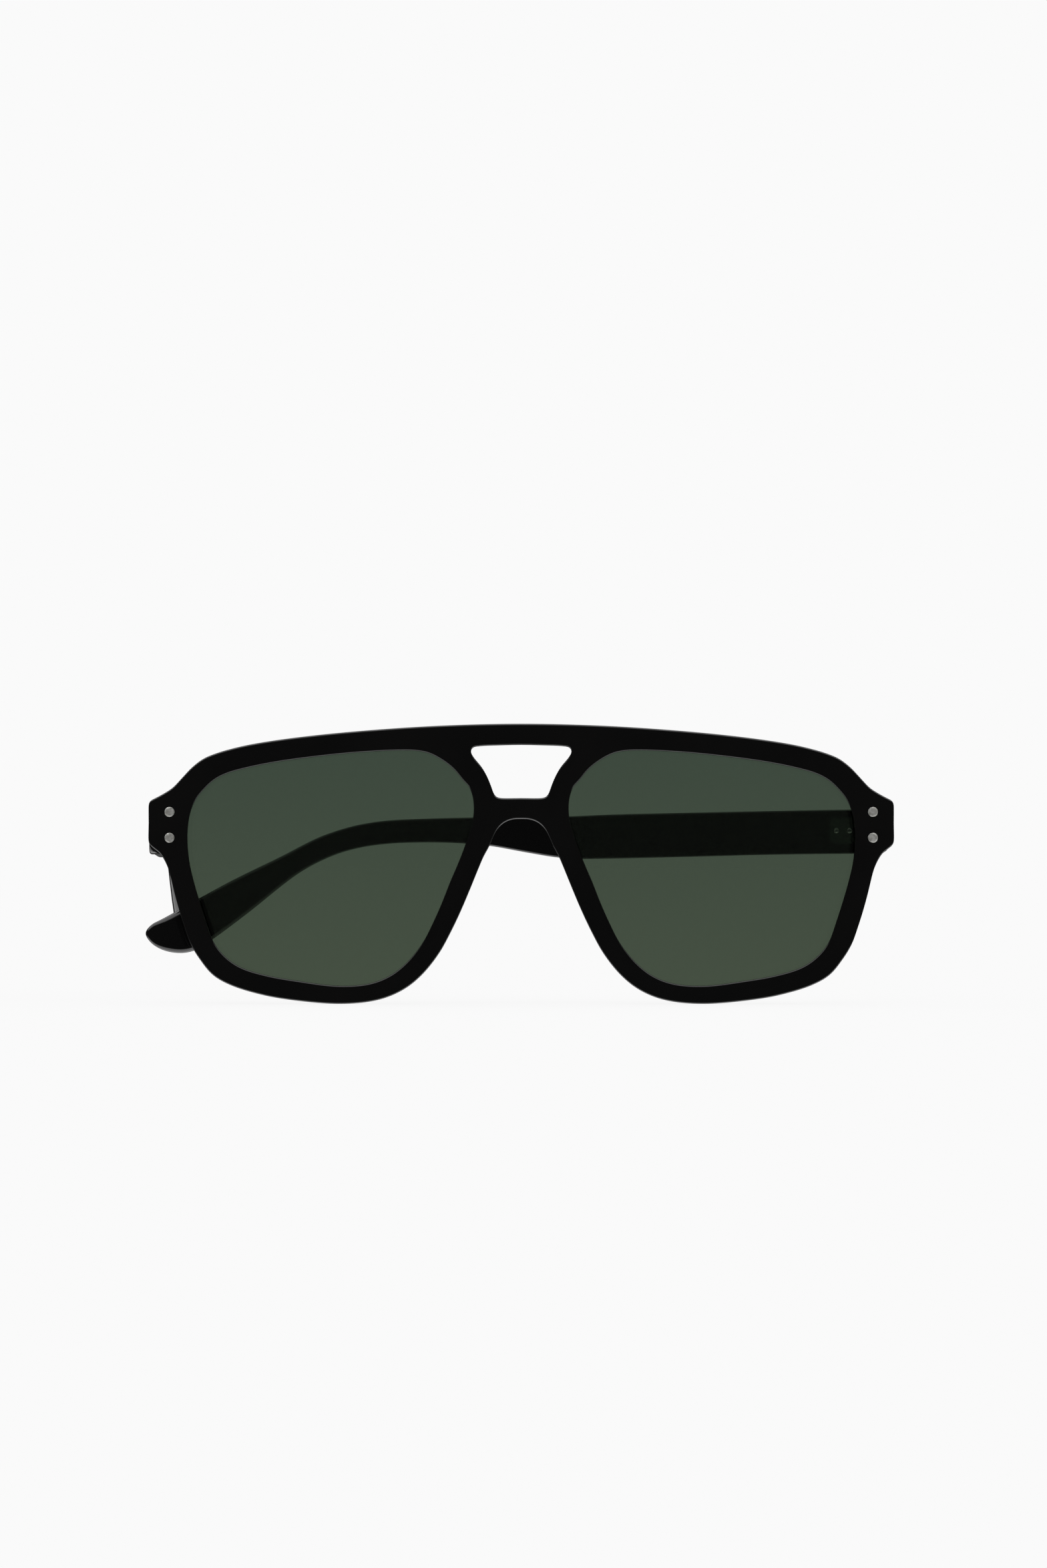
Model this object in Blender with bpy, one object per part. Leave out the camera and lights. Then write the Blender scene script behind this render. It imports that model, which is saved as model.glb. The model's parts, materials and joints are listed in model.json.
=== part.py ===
"""Aviator sunglasses in thick black acetate, with a double bridge and riveted five-barrel hinges.

Wearer's left is +X, the wearer looks towards -Y, and +Z is up. Lengths below are millimetres, and MM turns
them into the scene's metres. The front is drawn in X and Z, and each temple in its own frame, whose origin is
on its hinge axis: +Y runs along the arm, and X points away from the head on the left temple and is mirrored
on the right one.
"""

import math

import bmesh
import bpy
from mathutils import Vector
from mathutils.geometry import delaunay_2d_cdt

MM = 0.001
GAP = 0.3  # clearance between separate pieces
CHORD_ERROR = 0.05  # how far a facet may stray from its curve
LONGEST_FACET = 7.0
LEFT, RIGHT = 1, -1
SIDE_NAMES = {LEFT: "left", RIGHT: "right"}

# Front
FRONT_THICKNESS = 4.0
FRONT_BEND_RADIUS = 480.0
EDGE_CHAMFER = 0.4
END_PIECE_BACK = 10.6  # Y of the flat hinge seat
END_PIECE_START = 61.0  # X where the back begins to thicken towards the seat
END_PIECE_FLAT = 66.0  # X from which the seat is flat
END_PIECE_LOW, END_PIECE_FULL = 20.0, 28.0  # Z over which the thickening fades in
SEAT_GRID_X = (66.3, 68.0, 70.0, 72.0)  # points that hold the seat flat
SEAT_GRID_Z = (31.5, 34.0, 36.5, 39.0, 41.0, 43.0)
MITRE_START = 69.8  # X where the mitred joint between end piece and temple begins
MITRE_SLOPE = 3.0 / 3.6
MITRE_HEIGHTS = (20.0, 50.0)  # Z from and to which the mitre cuts reach, past the ends of the joint
CUT_PAST = 1.0  # how far a recess or hole cut reaches beyond the surface

# Half of the front's outline, from the middle of the brow round the end piece and rim to the top of the arch.
FRONT_OUTLINE = [
    (0, 55.16), (16, 54.78), (32, 53.72), (44, 52.5), (52, 51.34), (56, 50.52), (60, 49.39), (62.6, 48.3),
    (64.8, 46.65), (66.7, 44.65), (68.6, 42.65), (70.07, 41.65), (71.87, 40.65), (72.9, 40.15),
    (73.35, 39.7), (73.45, 39.1), (73.45, 35.5), (73.45, 31.9), (73.2, 31.25), (71.3, 29.7), (70.6, 28.75),
    (69.6, 26.7), (68.31, 21.65), (67.49, 18.65), (66.55, 15.65), (65.1, 11.65), (63.27, 8.65),
    (60.75, 5.65), (57.25, 3.65), (50.59, 1.65), (44, 0.6), (36, 0), (30, 0.42), (26, 1.45), (22.4, 3.3),
    (19.26, 6), (16.13, 10), (13.92, 14), (12.01, 18), (10.3, 22), (8.67, 26), (7.4, 29), (6.3, 31),
    (5.6, 32.65), (4.65, 34.45), (3.5, 35.6), (1.9, 36.3), (0, 36.43),
]
# The left lens opening, from the top nasal corner along the brow and round.
LENS_OPENING = [
    (10.25, 42.7), (11.44, 44), (13.06, 46), (15.2, 47.75), (18, 49.27), (20.5, 49.8), (24, 49.9),
    (32, 49.5), (40, 48.71), (48, 47.63), (54, 46.45), (58, 45.33), (60.5, 44.05), (62.7, 42), (64.24, 40),
    (65.3, 37.2), (65.75, 33), (65.37, 28), (64.46, 24), (63.3, 20), (62, 16), (60.5, 12), (58.2, 9.2),
    (55.2, 7.2), (50.2, 5.65), (44, 4.56), (36, 3.6), (30, 4.02), (26, 5.5), (22.7, 8), (19.43, 12),
    (17.35, 16), (15.57, 20), (14, 24), (12.28, 28), (10.6, 32.5), (9.5, 36.5), (9.33, 39), (9.6, 41),
]
# Half of the window in the double bridge, from the middle of its top to the middle of its floor.
BRIDGE_WINDOW = [
    (0, 50.98), (4, 50.9), (8, 50.75), (9.5, 50.5), (9.96, 49.8), (9.5, 48.75), (7.79, 46.65),
    (6.65, 44.65), (5.84, 42.65), (5.35, 41.3), (4.8, 40.7), (4, 40.53), (0, 40.53),
]

# Lenses
LENS_THICKNESS = 2.0
LENS_BULGE = 1.0  # how far the middle of a lens stands forward of its edge plane
LENS_LAP = 0.5  # how far the lens reaches into the groove
GROOVE_DEPTH = LENS_LAP + GAP
GROOVE_START = 0.7  # depth of the groove's front wall behind the front face
GROOVE_END = GROOVE_START + LENS_THICKNESS + 2 * GAP
LENS_RINGS = 2
LENS_CENTRE = (38.0, 28.0)

# Nose pads
PAD_LOW, PAD_HIGH = 13.5, 29.5  # Z of the pad's ends
PAD_SET_IN = 0.5  # from the edge of the nose arch
PAD_WIDTH = 3.2
PAD_HEIGHT = 3.5
PAD_STEPS = 10
PAD_PROFILE = ((0, 0), (0.1, 0.45), (0.45, 0.8), (0.95, 1))  # (inset, share of the height)

# Hinges
HINGE_X, HINGE_Y = 67.7, 13.2
BARREL_RADIUS, BORE_RADIUS = 1.3, 0.85
BARREL_HEIGHT = 0.98
BARRELS = 5
BARREL_LOW = 31.0
WEB_HALF_WIDTH = 0.9
WEB_START = 1.0  # distance from the axis at which a web leaves its barrel
WEB_SUNK = 0.1  # how far a web reaches into its plate
WEB_SET_IN = 0.05  # how much lower a web is than its barrel, top and bottom
PLATE_THICKNESS = 0.8
FRONT_PLATE_X = (65.9, 69.3)
FRONT_PLATE_Z = (31.3, 38.9)
FRONT_PLATE_SUNK = 0.4
ROUND_SIDES = 16

# Screws and rivets
SCREW_RADIUS, SCREW_HEAD_RADIUS = 0.55, 1.0
SCREW_HEAD_HEIGHT = 0.6
SCREW_SLOT_WIDTH, SCREW_SLOT_DEPTH = 0.3, 0.3
FRONT_RIVET_RADIUS = 0.98
FRONT_RIVET_LENGTH = 2.9
FRONT_RIVET_CHAMFER, TEMPLE_RIVET_CHAMFER = 0.12, 0.1
FRONT_RIVET_X = 69.3
FRONT_RIVET_Z = {"upper": 37.8, "lower": 32.7}
TEMPLE_RIVET_RADIUS = 0.55
TEMPLE_RIVET_Z = 34.05
TEMPLE_RIVET_ALONG = {"near": 2.9, "far": 5.5}
TEMPLE_RIVET_PROUD = 0.15
TEMPLE_RIVET_END = 3.1  # distance of the pin's inner end from the hinge axis, across the temple

# Temples, in their own frame
TEMPLE_INNER, TEMPLE_OUTER = 2.1, 5.7  # X of the face towards the head and of the outer face
TEMPLE_CHAMFER = 0.5
TEMPLE_END = -5.3
TEMPLE_LENGTH = 142.0  # from the hinge axis to the end of the tip
TIP_BEND_START, TIP_BEND_LENGTH, TIP_BEND = 95.0, 47.0, 3.0
TEMPLE_PLATE_Y = (-0.9, 6.8)
TEMPLE_PLATE_Z = (31.5, 36.6)
TEMPLE_PLATE_PROUD = 0.45
PLATE_CORNER = 1.2
# The temple's side view as (Y, Z), from the rounded lower end corner along the bottom and round the tip.
TEMPLE_OUTLINE = [
    (TEMPLE_END, 31.6), (-4.75, 30.15), (-3.3, 29.5), (2.4, 29.5), (18.5, 29.3), (34, 28.9), (50, 28.55),
    (57, 28.5), (61, 28.8), (67, 29.8), (74, 31.05), (80, 31.6), (87, 31.75), (94.3, 31.45), (100, 30.6),
    (105.2, 29), (111.4, 25.8), (121.9, 17.6), (128.4, 12.75), (131.8, 10.55), (134.8, 9.85),
    (138.4, 10.45), (140.9, 12), (TEMPLE_LENGTH, 13.7), (141.5, 14.85), (139.6, 16.05), (135.2, 18.5),
    (125, 24.1), (114.8, 29.1), (111, 31.1), (107, 33), (101.3, 34.85), (97, 35.7), (93.4, 36.1),
    (85.6, 36.45), (77.6, 36.65), (58, 36.9), (50.7, 37.2), (26, 37.75), (2.4, 38.2), (-4, 38.2),
    (-4.92, 37.82), (TEMPLE_END, 36.9),
]
CORE_WIRE_RADIUS = 0.5
CORE_WIRE_X = 4.5
CORE_WIRE_SIDES = 6
CORE_WIRE_PATH = [
    (-1.5, 33.8), (25, 33.4), (55, 32.8), (75, 33.8), (90, 34), (99, 32.9), (107, 30.6), (114, 26.9),
    (128, 17.3),
]
CORE_WIRE_MOUTH = TEMPLE_END - 3  # Y beyond the temple's end, from which its wire channel is cut

# Poses: the left temple is folded flat behind the front, and the right one is open.
REST_ANGLE = {LEFT: math.radians(90), RIGHT: 0.0}
MIDDLE_Y = (HINGE_Y + TEMPLE_LENGTH) / 2  # half of the depth in this pose


def catmull_rom(p0, p1, p2, p3, count):
    """`count` points from p1 up to, but not including, p2 on the centripetal curve through the four."""
    p0, p1, p2, p3 = (Vector(p) for p in (p0, p1, p2, p3))
    t1 = math.sqrt((p1 - p0).length)
    t2 = t1 + math.sqrt((p2 - p1).length)
    t3 = t2 + math.sqrt((p3 - p2).length)
    points = []
    for i in range(count):
        t = t1 + (t2 - t1) * i / count
        a1 = p0.lerp(p1, t / t1)
        a2 = p1.lerp(p2, (t - t1) / (t2 - t1))
        a3 = p2.lerp(p3, (t - t2) / (t3 - t2))
        b1 = a1.lerp(a2, t / t2)
        b2 = a2.lerp(a3, (t - t1) / (t3 - t1))
        points.append(b1.lerp(b2, (t - t1) / (t2 - t1)))
    return points


def curve_through(points, before, after, step=0.2):
    """A smooth open curve through `points`; `before` and `after` set its direction at the ends."""
    controls = [before, *points, after]
    curve = []
    for i in range(1, len(controls) - 2):
        count = max(2, round((Vector(controls[i + 1]) - Vector(controls[i])).length / step))
        curve += catmull_rom(*controls[i - 1 : i + 3], count)
    return [*curve, Vector(points[-1])]


def thin_out(points, tolerance=CHORD_ERROR):
    """The fewest of the points whose straight lines stay within `tolerance` of the curve."""
    first, last = points[0], points[-1]
    chord = last - first
    if len(points) < 3:
        return points
    if chord.length > LONGEST_FACET or chord.length < tolerance:
        middle = len(points) // 2
    else:
        across = Vector((-chord.y, chord.x)).normalized()
        middle = max(range(1, len(points) - 1), key=lambda i: abs((points[i] - first).dot(across)))
        if abs((points[middle] - first).dot(across)) < tolerance:
            return [first, last]
    return thin_out(points[: middle + 1], tolerance)[:-1] + thin_out(points[middle:], tolerance)


def mirrored(points):
    return [Vector((-p[0], p[1])) for p in points]


def symmetric_loop(half):
    """A closed loop from the half with X >= 0, which starts and ends on the middle line."""
    curve = thin_out(curve_through(half, mirrored(half)[1], mirrored(half)[-2]))
    return curve + mirrored(curve)[-2:0:-1]


def closed_loop(points):
    return thin_out(curve_through([*points, points[0]], points[-1], points[1]))[:-1]


def signed_area(loop):
    return sum(a[0] * b[1] - b[0] * a[1] for a, b in zip(loop, loop[1:] + loop[:1])) / 2


def offset(loop, distance):
    """The closed loop moved outwards by `distance`, or inwards when that is negative."""
    turn = 1 if signed_area(loop) > 0 else -1
    moved = []
    for before, here, after in zip(loop[-1:] + loop[:-1], loop, loop[1:] + loop[:1]):
        one, two = (here - before).normalized(), (after - here).normalized()
        normals = [Vector((d.y, -d.x)) * turn for d in (one, two)]
        middle = (normals[0] + normals[1]).normalized()
        moved.append(here + middle * distance / max(middle.dot(normals[0]), 0.5))
    return moved


def inside(point, loop):
    crossings = 0
    for a, b in zip(loop, loop[1:] + loop[:1]):
        if (a.y > point.y) != (b.y > point.y):
            crossings += point.x < a.x + (point.y - a.y) * (b.x - a.x) / (b.y - a.y)
    return crossings % 2 == 1


def add_ring(bm, points):
    return [bm.verts.new(Vector(p) * MM) for p in points]


def add_wall(bm, rings):
    """Quads between each ring of vertices and the next."""
    for near, far in zip(rings, rings[1:]):
        for i in range(len(near)):
            j = (i + 1) % len(near)
            bm.faces.new((near[i], near[j], far[j], far[i]))


def add_cap(bm, outer, holes, flat_outer, flat_holes, extra=()):
    """Triangles between the `outer` ring and `holes`. `extra` has (flat point, vertex) pairs for inner points."""
    verts = [v for ring in [outer, *holes] for v in ring] + [v for _, v in extra]
    flat = [p for loop in [flat_outer, *flat_holes] for p in loop] + [p for p, _ in extra]
    edges = []
    start = 0
    for ring in [outer, *holes]:
        edges += [(start + i, start + (i + 1) % len(ring)) for i in range(len(ring))]
        start += len(ring)
    places, _, triangles, origins, _, _ = delaunay_2d_cdt(flat, edges, [], 1, 1e-6)
    for triangle in triangles:
        middle = sum((places[i] for i in triangle), Vector((0, 0))) / 3
        if inside(middle, flat_outer) and not any(inside(middle, hole) for hole in flat_holes):
            bm.faces.new([verts[origins[i][0]] for i in triangle])


def add_box(bm, low, high):
    xs, ys, zs = zip(low, high)
    v = add_ring(bm, [(x, y, z) for x in xs for y in ys for z in zs])
    for face in ((0, 1, 3, 2), (4, 6, 7, 5), (0, 4, 5, 1), (2, 3, 7, 6), (0, 2, 6, 4), (1, 5, 7, 3)):
        bm.faces.new([v[i] for i in face])


def add_prism(bm, base, top):
    """A closed solid between two equal rings of points."""
    rings = [add_ring(bm, base), add_ring(bm, top)]
    add_wall(bm, rings)
    for ring in rings:
        bm.faces.new(ring)


def add_turned(bm, profile, place, axis="Z", sides=ROUND_SIDES):
    """A solid of revolution. The profile is (radius, height) pairs along the axis from `place`."""
    rings = []
    for radius, height in profile:
        ring = []
        for i in range(sides):
            a, b = (radius * f(2 * math.pi * i / sides) for f in (math.cos, math.sin))
            point = {"X": (height, a, b), "Y": (a, height, b), "Z": (a, b, height)}[axis]
            ring.append(Vector(place) + Vector(point))
        rings.append(add_ring(bm, ring))
    add_wall(bm, rings)
    bm.faces.new(rings[0])
    bm.faces.new(rings[-1])


def new_object(name, bm, parent, material=None):
    bmesh.ops.recalc_face_normals(bm, faces=bm.faces)
    mesh = bpy.data.meshes.new(name)
    bm.to_mesh(mesh)
    bm.free()
    obj = bpy.data.objects.new(name, mesh)
    bpy.context.scene.collection.objects.link(obj)
    obj.parent = parent
    if material:
        mesh.materials.append(material)
        mesh.shade_smooth()
        mesh.set_sharp_from_angle(angle=math.radians(25))
    else:
        obj.hide_render = True
        obj.display_type = "WIRE"
    return obj


def combine(target, other, operation):
    modifier = target.modifiers.new(f"{operation.lower()} {other.name}", "BOOLEAN")
    modifier.operation = operation
    modifier.object = other
    modifier.solver = "EXACT"


def material(name, colour, roughness, metallic=0.0, alpha=1.0):
    made = bpy.data.materials.new(name)
    made.use_nodes = True
    shader = made.node_tree.nodes["Principled BSDF"]
    shader.inputs["Base Color"].default_value = (*colour, 1.0)
    shader.inputs["Roughness"].default_value = roughness
    shader.inputs["Metallic"].default_value = metallic
    shader.inputs["Alpha"].default_value = alpha
    return made


def fade(value, start, end):
    t = min(max((value - start) / (end - start), 0.0), 1.0)
    return t * t * (3 - 2 * t)


def front_y(x):
    return x * x / (2 * FRONT_BEND_RADIUS)


def back_y(x, z):
    """The front's back face, which thickens to the flat hinge seats."""
    plain = front_y(x) + FRONT_THICKNESS
    share = fade(abs(x), END_PIECE_START, END_PIECE_FLAT) * fade(z, END_PIECE_LOW, END_PIECE_FULL)
    return plain + (END_PIECE_BACK - plain) * share


def front_ring(bm, loop, face, depth):
    """The loop at `depth` behind the front face, or in front of the back face."""
    if face == "front":
        return add_ring(bm, [(p.x, front_y(p.x) + depth, p.y) for p in loop])
    return add_ring(bm, [(p.x, back_y(p.x, p.y) - depth, p.y) for p in loop])


def front_frame(parent, finish):
    """One solid: the bent front with its lens grooves, window, hinge recesses, mitres and rivet holes."""
    bm = bmesh.new()
    outer = symmetric_loop(FRONT_OUTLINE)
    window = symmetric_loop(BRIDGE_WINDOW)
    left_opening = closed_loop(LENS_OPENING)
    front_edge = [(EDGE_CHAMFER, "front", 0), (0, "front", EDGE_CHAMFER)]
    back_edge = [(0, "back", EDGE_CHAMFER), (EDGE_CHAMFER, "back", 0)]
    groove = [(0, "front", GROOVE_START), (GROOVE_DEPTH, "front", GROOVE_START)]
    groove += [(GROOVE_DEPTH, "front", GROOVE_END), (0, "front", GROOVE_END)]
    first, last, flat = [], [], []
    for loop, into_material, middle in (
        (outer, -1, []),
        (window, 1, []),
        (left_opening, 1, groove),
        (mirrored(left_opening), 1, groove),
    ):
        rings = []
        for inset, face, depth in [*front_edge, *middle, *back_edge]:
            rings.append(front_ring(bm, offset(loop, into_material * inset), face, depth))
        add_wall(bm, rings)
        first.append(rings[0])
        last.append(rings[-1])
        flat.append(offset(loop, into_material * EDGE_CHAMFER))
    add_cap(bm, first[0], first[1:], flat[0], flat[1:])
    seat = []
    seat_edge = offset(outer, -2 * EDGE_CHAMFER)
    for side in (LEFT, RIGHT):
        for x in SEAT_GRID_X:
            for z in SEAT_GRID_Z:
                place = Vector((side * x, z))
                if inside(place, seat_edge):
                    seat.append((place, front_ring(bm, [place], "back", 0)[0]))
    add_cap(bm, last[0], last[1:], flat[0], flat[1:], seat)
    front = new_object("front_frame", bm, parent, finish)
    for side in (LEFT, RIGHT):
        for cutter in (hinge_recess(side, parent), mitre(side, parent), front_rivet_holes(side, parent)):
            combine(front, cutter, "DIFFERENCE")
    return front


def hinge_recess(side, parent):
    bm = bmesh.new()
    floor = END_PIECE_BACK - FRONT_PLATE_SUNK - PLATE_THICKNESS - GAP
    near, far = sorted(side * x for x in (FRONT_PLATE_X[0] - GAP, FRONT_PLATE_X[1] + GAP))
    bottom, top = FRONT_PLATE_Z[0] - GAP, FRONT_PLATE_Z[1] + GAP
    add_box(bm, (near, floor, bottom), (far, END_PIECE_BACK + CUT_PAST, top))
    return new_object(f"cut_hinge_recess_{SIDE_NAMES[side]}", bm, parent)


def mitre_y(x):
    """Y of the end piece's mitred face at X."""
    return END_PIECE_BACK - (x - MITRE_START) * MITRE_SLOPE


def mitre(side, parent):
    """Cuts everything behind the mitred face away, from inside the seat to beyond the end piece."""
    bm = bmesh.new()
    corners = [(68.6, mitre_y(68.6)), (76.0, mitre_y(76.0)), (78.0, 12.0), (70.0, 16.0)]
    base, top = ([(side * x, y, z) for x, y in corners] for z in MITRE_HEIGHTS)
    add_prism(bm, base, top)
    return new_object(f"cut_mitre_{SIDE_NAMES[side]}", bm, parent)


def front_rivet_holes(side, parent):
    bm = bmesh.new()
    radius = FRONT_RIVET_RADIUS + GAP
    for z in FRONT_RIVET_Z.values():
        profile = [(radius, -CUT_PAST), (radius, FRONT_RIVET_LENGTH + GAP)]
        add_turned(bm, profile, (side * FRONT_RIVET_X, front_y(FRONT_RIVET_X), z), "Y")
    return new_object(f"cut_rivet_holes_{SIDE_NAMES[side]}", bm, parent)


def front_rivet(side, level, parent, finish):
    bm = bmesh.new()
    radius, edge = FRONT_RIVET_RADIUS, FRONT_RIVET_CHAMFER
    profile = [(radius - edge, 0), (radius, edge), (radius, FRONT_RIVET_LENGTH)]
    add_turned(bm, profile, (side * FRONT_RIVET_X, front_y(FRONT_RIVET_X), FRONT_RIVET_Z[level]), "Y")
    new_object(f"front_rivet_{level}_{SIDE_NAMES[side]}", bm, parent, finish)


def lens(side, parent, finish):
    """A curved lens: rings that shrink towards its centre while the surface moves forward."""
    bm = bmesh.new()
    edge = offset(closed_loop(LENS_OPENING), LENS_LAP)
    centre = Vector(LENS_CENTRE)
    surfaces = []
    for depth in (GROOVE_START + GAP, GROOVE_START + GAP + LENS_THICKNESS):
        rings = []
        for step in range(LENS_RINGS + 1):
            share = 1 - step / LENS_RINGS
            shape = [centre + (p - centre) * share for p in edge] if share else [centre]
            forward = LENS_BULGE * (1 - share * share)
            rings.append(add_ring(bm, [(side * p.x, front_y(p.x) + depth - forward, p.y) for p in shape]))
        add_wall(bm, rings[:-1])
        for i, v in enumerate(rings[-2]):
            bm.faces.new((v, rings[-2][(i + 1) % len(edge)], rings[-1][0]))
        surfaces.append(rings)
    add_wall(bm, [surfaces[0][0], surfaces[1][0]])
    new_object(f"lens_{SIDE_NAMES[side]}", bm, parent, finish)


def nose_pad(side, parent, finish):
    """A ridge behind the nasal side of the rim, following its edge and rounded over towards the back."""
    bm = bmesh.new()
    nasal = [p for p in symmetric_loop(FRONT_OUTLINE) if 0 < p.x < 20 and p.y < 33]
    nasal.sort(key=lambda p: p.y)
    slope = Vector((edge_x(nasal, PAD_HIGH) - edge_x(nasal, PAD_LOW), PAD_HIGH - PAD_LOW)).normalized()
    across = Vector((slope.y, -slope.x))
    rings, flats = [], []
    for inset, share_of_height in PAD_PROFILE:
        near, far = [], []
        low, high = PAD_LOW + 2 * inset, PAD_HIGH - 2 * inset
        for i in range(PAD_STEPS + 1):
            share = i / PAD_STEPS
            z = low + (high - low) * share
            middle = Vector((edge_x(nasal, z), z)) + across * (PAD_SET_IN + PAD_WIDTH / 2)
            half = (PAD_WIDTH / 2 - inset) * math.sqrt(1 - (2 * share - 1) ** 4)
            near.append(middle - across * half)
            far.append(middle + across * half)
        flats.append([*near, *far[-2:0:-1]])
        height = GAP + share_of_height * PAD_HEIGHT
        rings.append(add_ring(bm, [(side * p.x, back_y(p.x, p.y) + height, p.y) for p in flats[-1]]))
    add_wall(bm, rings)
    for ring, flat in ((rings[0], flats[0]), (rings[-1], flats[-1])):
        add_cap(bm, ring, [], flat, [])
    new_object(f"nose_pad_{SIDE_NAMES[side]}", bm, parent, finish)


def edge_x(line, z):
    """X of the line, whose points rise in Z, at height z."""
    for low, high in zip(line, line[1:]):
        if low.y <= z <= high.y:
            return low.x + (high.x - low.x) * (z - low.y) / (high.y - low.y)
    return line[-1].x


def barrel_levels(first):
    """(bottom, top) of every second barrel, from number `first`."""
    pitch = BARREL_HEIGHT + GAP
    bottoms = [BARREL_LOW + i * pitch for i in range(first, BARRELS, 2)]
    return [(bottom, bottom + BARREL_HEIGHT) for bottom in bottoms]


def hinge_leaf(name, plate, first_barrel, web, parent, finish):
    """A plate joined to its barrels by webs, with one bore through them. `web` gives a web's two corners."""
    leaf = new_object(name, plate, parent, finish)
    for level, (bottom, top) in enumerate(barrel_levels(first_barrel)):
        bm = bmesh.new()
        add_turned(bm, [(BARREL_RADIUS, bottom), (BARREL_RADIUS, top)], (0, 0, 0))
        combine(leaf, new_object(f"join_{name}_barrel_{level}", bm, parent), "UNION")
        bm = bmesh.new()
        add_box(bm, (*web[0], bottom + WEB_SET_IN), (*web[1], top - WEB_SET_IN))
        combine(leaf, new_object(f"join_{name}_web_{level}", bm, parent), "UNION")
    bm = bmesh.new()
    ends = (BARREL_LOW - CUT_PAST, barrel_levels(0)[-1][1] + CUT_PAST)
    add_turned(bm, [(BORE_RADIUS, z) for z in ends], (0, 0, 0))
    combine(leaf, new_object(f"cut_{name}_bore", bm, parent), "DIFFERENCE")
    return leaf


def front_hinge(side, hinge, finish):
    bm = bmesh.new()
    near, far = sorted(side * (x - HINGE_X) for x in FRONT_PLATE_X)
    face = END_PIECE_BACK - FRONT_PLATE_SUNK - HINGE_Y
    add_box(bm, (near, face - PLATE_THICKNESS, FRONT_PLATE_Z[0]), (far, face, FRONT_PLATE_Z[1]))
    web = ((-WEB_HALF_WIDTH, face - WEB_SUNK), (WEB_HALF_WIDTH, -WEB_START))
    hinge_leaf(f"front_hinge_{SIDE_NAMES[side]}", bm, 0, web, hinge, finish)


def hinge_screw(side, hinge, finish):
    bm = bmesh.new()
    seat = barrel_levels(0)[-1][1] + GAP
    face = seat + SCREW_HEAD_HEIGHT
    profile = [(SCREW_RADIUS, BARREL_LOW - GAP), (SCREW_RADIUS, seat), (SCREW_HEAD_RADIUS, seat)]
    profile += [(SCREW_HEAD_RADIUS, seat + 0.7 * SCREW_HEAD_HEIGHT), (0.7 * SCREW_HEAD_RADIUS, face)]
    add_turned(bm, profile, (0, 0, 0))
    screw = new_object(f"hinge_screw_{SIDE_NAMES[side]}", bm, hinge, finish)
    bm = bmesh.new()
    half, reach = SCREW_SLOT_WIDTH / 2, 2 * SCREW_HEAD_RADIUS
    add_box(bm, (-reach, -half, face - SCREW_SLOT_DEPTH), (reach, half, face + CUT_PAST))
    combine(screw, new_object(f"cut_screw_slot_{SIDE_NAMES[side]}", bm, hinge), "DIFFERENCE")


def tip_bend(along):
    """How far the arm has turned in towards the head."""
    return TIP_BEND * (max(along - TIP_BEND_START, 0.0) / TIP_BEND_LENGTH) ** 2


def temple(side, joint, finish):
    """The arm: its side view given a thickness, then its mitre, hinge recess, holes and wire channel."""
    bm = bmesh.new()
    loop = closed_loop(TEMPLE_OUTLINE)
    rings, flats = [], []
    for inset, x in (
        (TEMPLE_CHAMFER, TEMPLE_INNER),
        (0, TEMPLE_INNER + TEMPLE_CHAMFER),
        (0, TEMPLE_OUTER - TEMPLE_CHAMFER),
        (TEMPLE_CHAMFER, TEMPLE_OUTER),
    ):
        flats.append(offset(loop, -inset))
        rings.append(add_ring(bm, [(side * (x - tip_bend(p.x)), p.x, p.y) for p in flats[-1]]))
    add_wall(bm, rings)
    for ring, flat in ((rings[0], flats[0]), (rings[-1], flats[-1])):
        add_cap(bm, ring, [], flat, [])
    arm = new_object(f"temple_{SIDE_NAMES[side]}", bm, joint, finish)
    for cutter in (
        temple_mitre(side, joint),
        temple_recess(side, joint),
        temple_rivet_holes(side, joint),
        core_wire_tube(side, joint, f"cut_wire_channel_{SIDE_NAMES[side]}", GAP, CORE_WIRE_MOUTH),
    ):
        combine(arm, cutter, "DIFFERENCE")


def temple_mitre(side, joint):
    """Cuts the arm's end parallel to the end piece's mitre, one gap behind it."""
    bm = bmesh.new()
    gap = GAP * math.hypot(1, MITRE_SLOPE)
    outside, in_front = 8.0, -14.0
    corners = [(x, mitre_y(HINGE_X + x) + gap - HINGE_Y) for x in (0.0, outside)]
    corners += [(outside, in_front), (0.0, in_front)]
    base, top = ([(side * x, y, z) for x, y in corners] for z in MITRE_HEIGHTS)
    add_prism(bm, base, top)
    return new_object(f"cut_temple_mitre_{SIDE_NAMES[side]}", bm, joint)


def rounded_rectangle(low, high, radius, steps=4):
    """A rectangle whose two corners at the high first coordinate are rounded."""
    points = [(low[0], low[1]), (high[0] - radius, low[1])]
    for centre_z, start in ((low[1] + radius, -90), (high[1] - radius, 0)):
        for i in range(1 if start else 0, steps + 1):
            angle = math.radians(start + 90 * i / steps)
            points.append((high[0] - radius + radius * math.cos(angle), centre_z + radius * math.sin(angle)))
    return [*points, (low[0], high[1])]


def temple_plate(bm, side, near, far, spread):
    """The plate's shape between X = near and X = far, made larger all round by `spread`."""
    low = (TEMPLE_PLATE_Y[0] - spread, TEMPLE_PLATE_Z[0] - spread)
    high = (TEMPLE_PLATE_Y[1] + spread, TEMPLE_PLATE_Z[1] + spread)
    outline = rounded_rectangle(low, high, PLATE_CORNER + spread)
    add_prism(bm, *([(side * x, y, z) for y, z in outline] for x in (near, far)))


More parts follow.
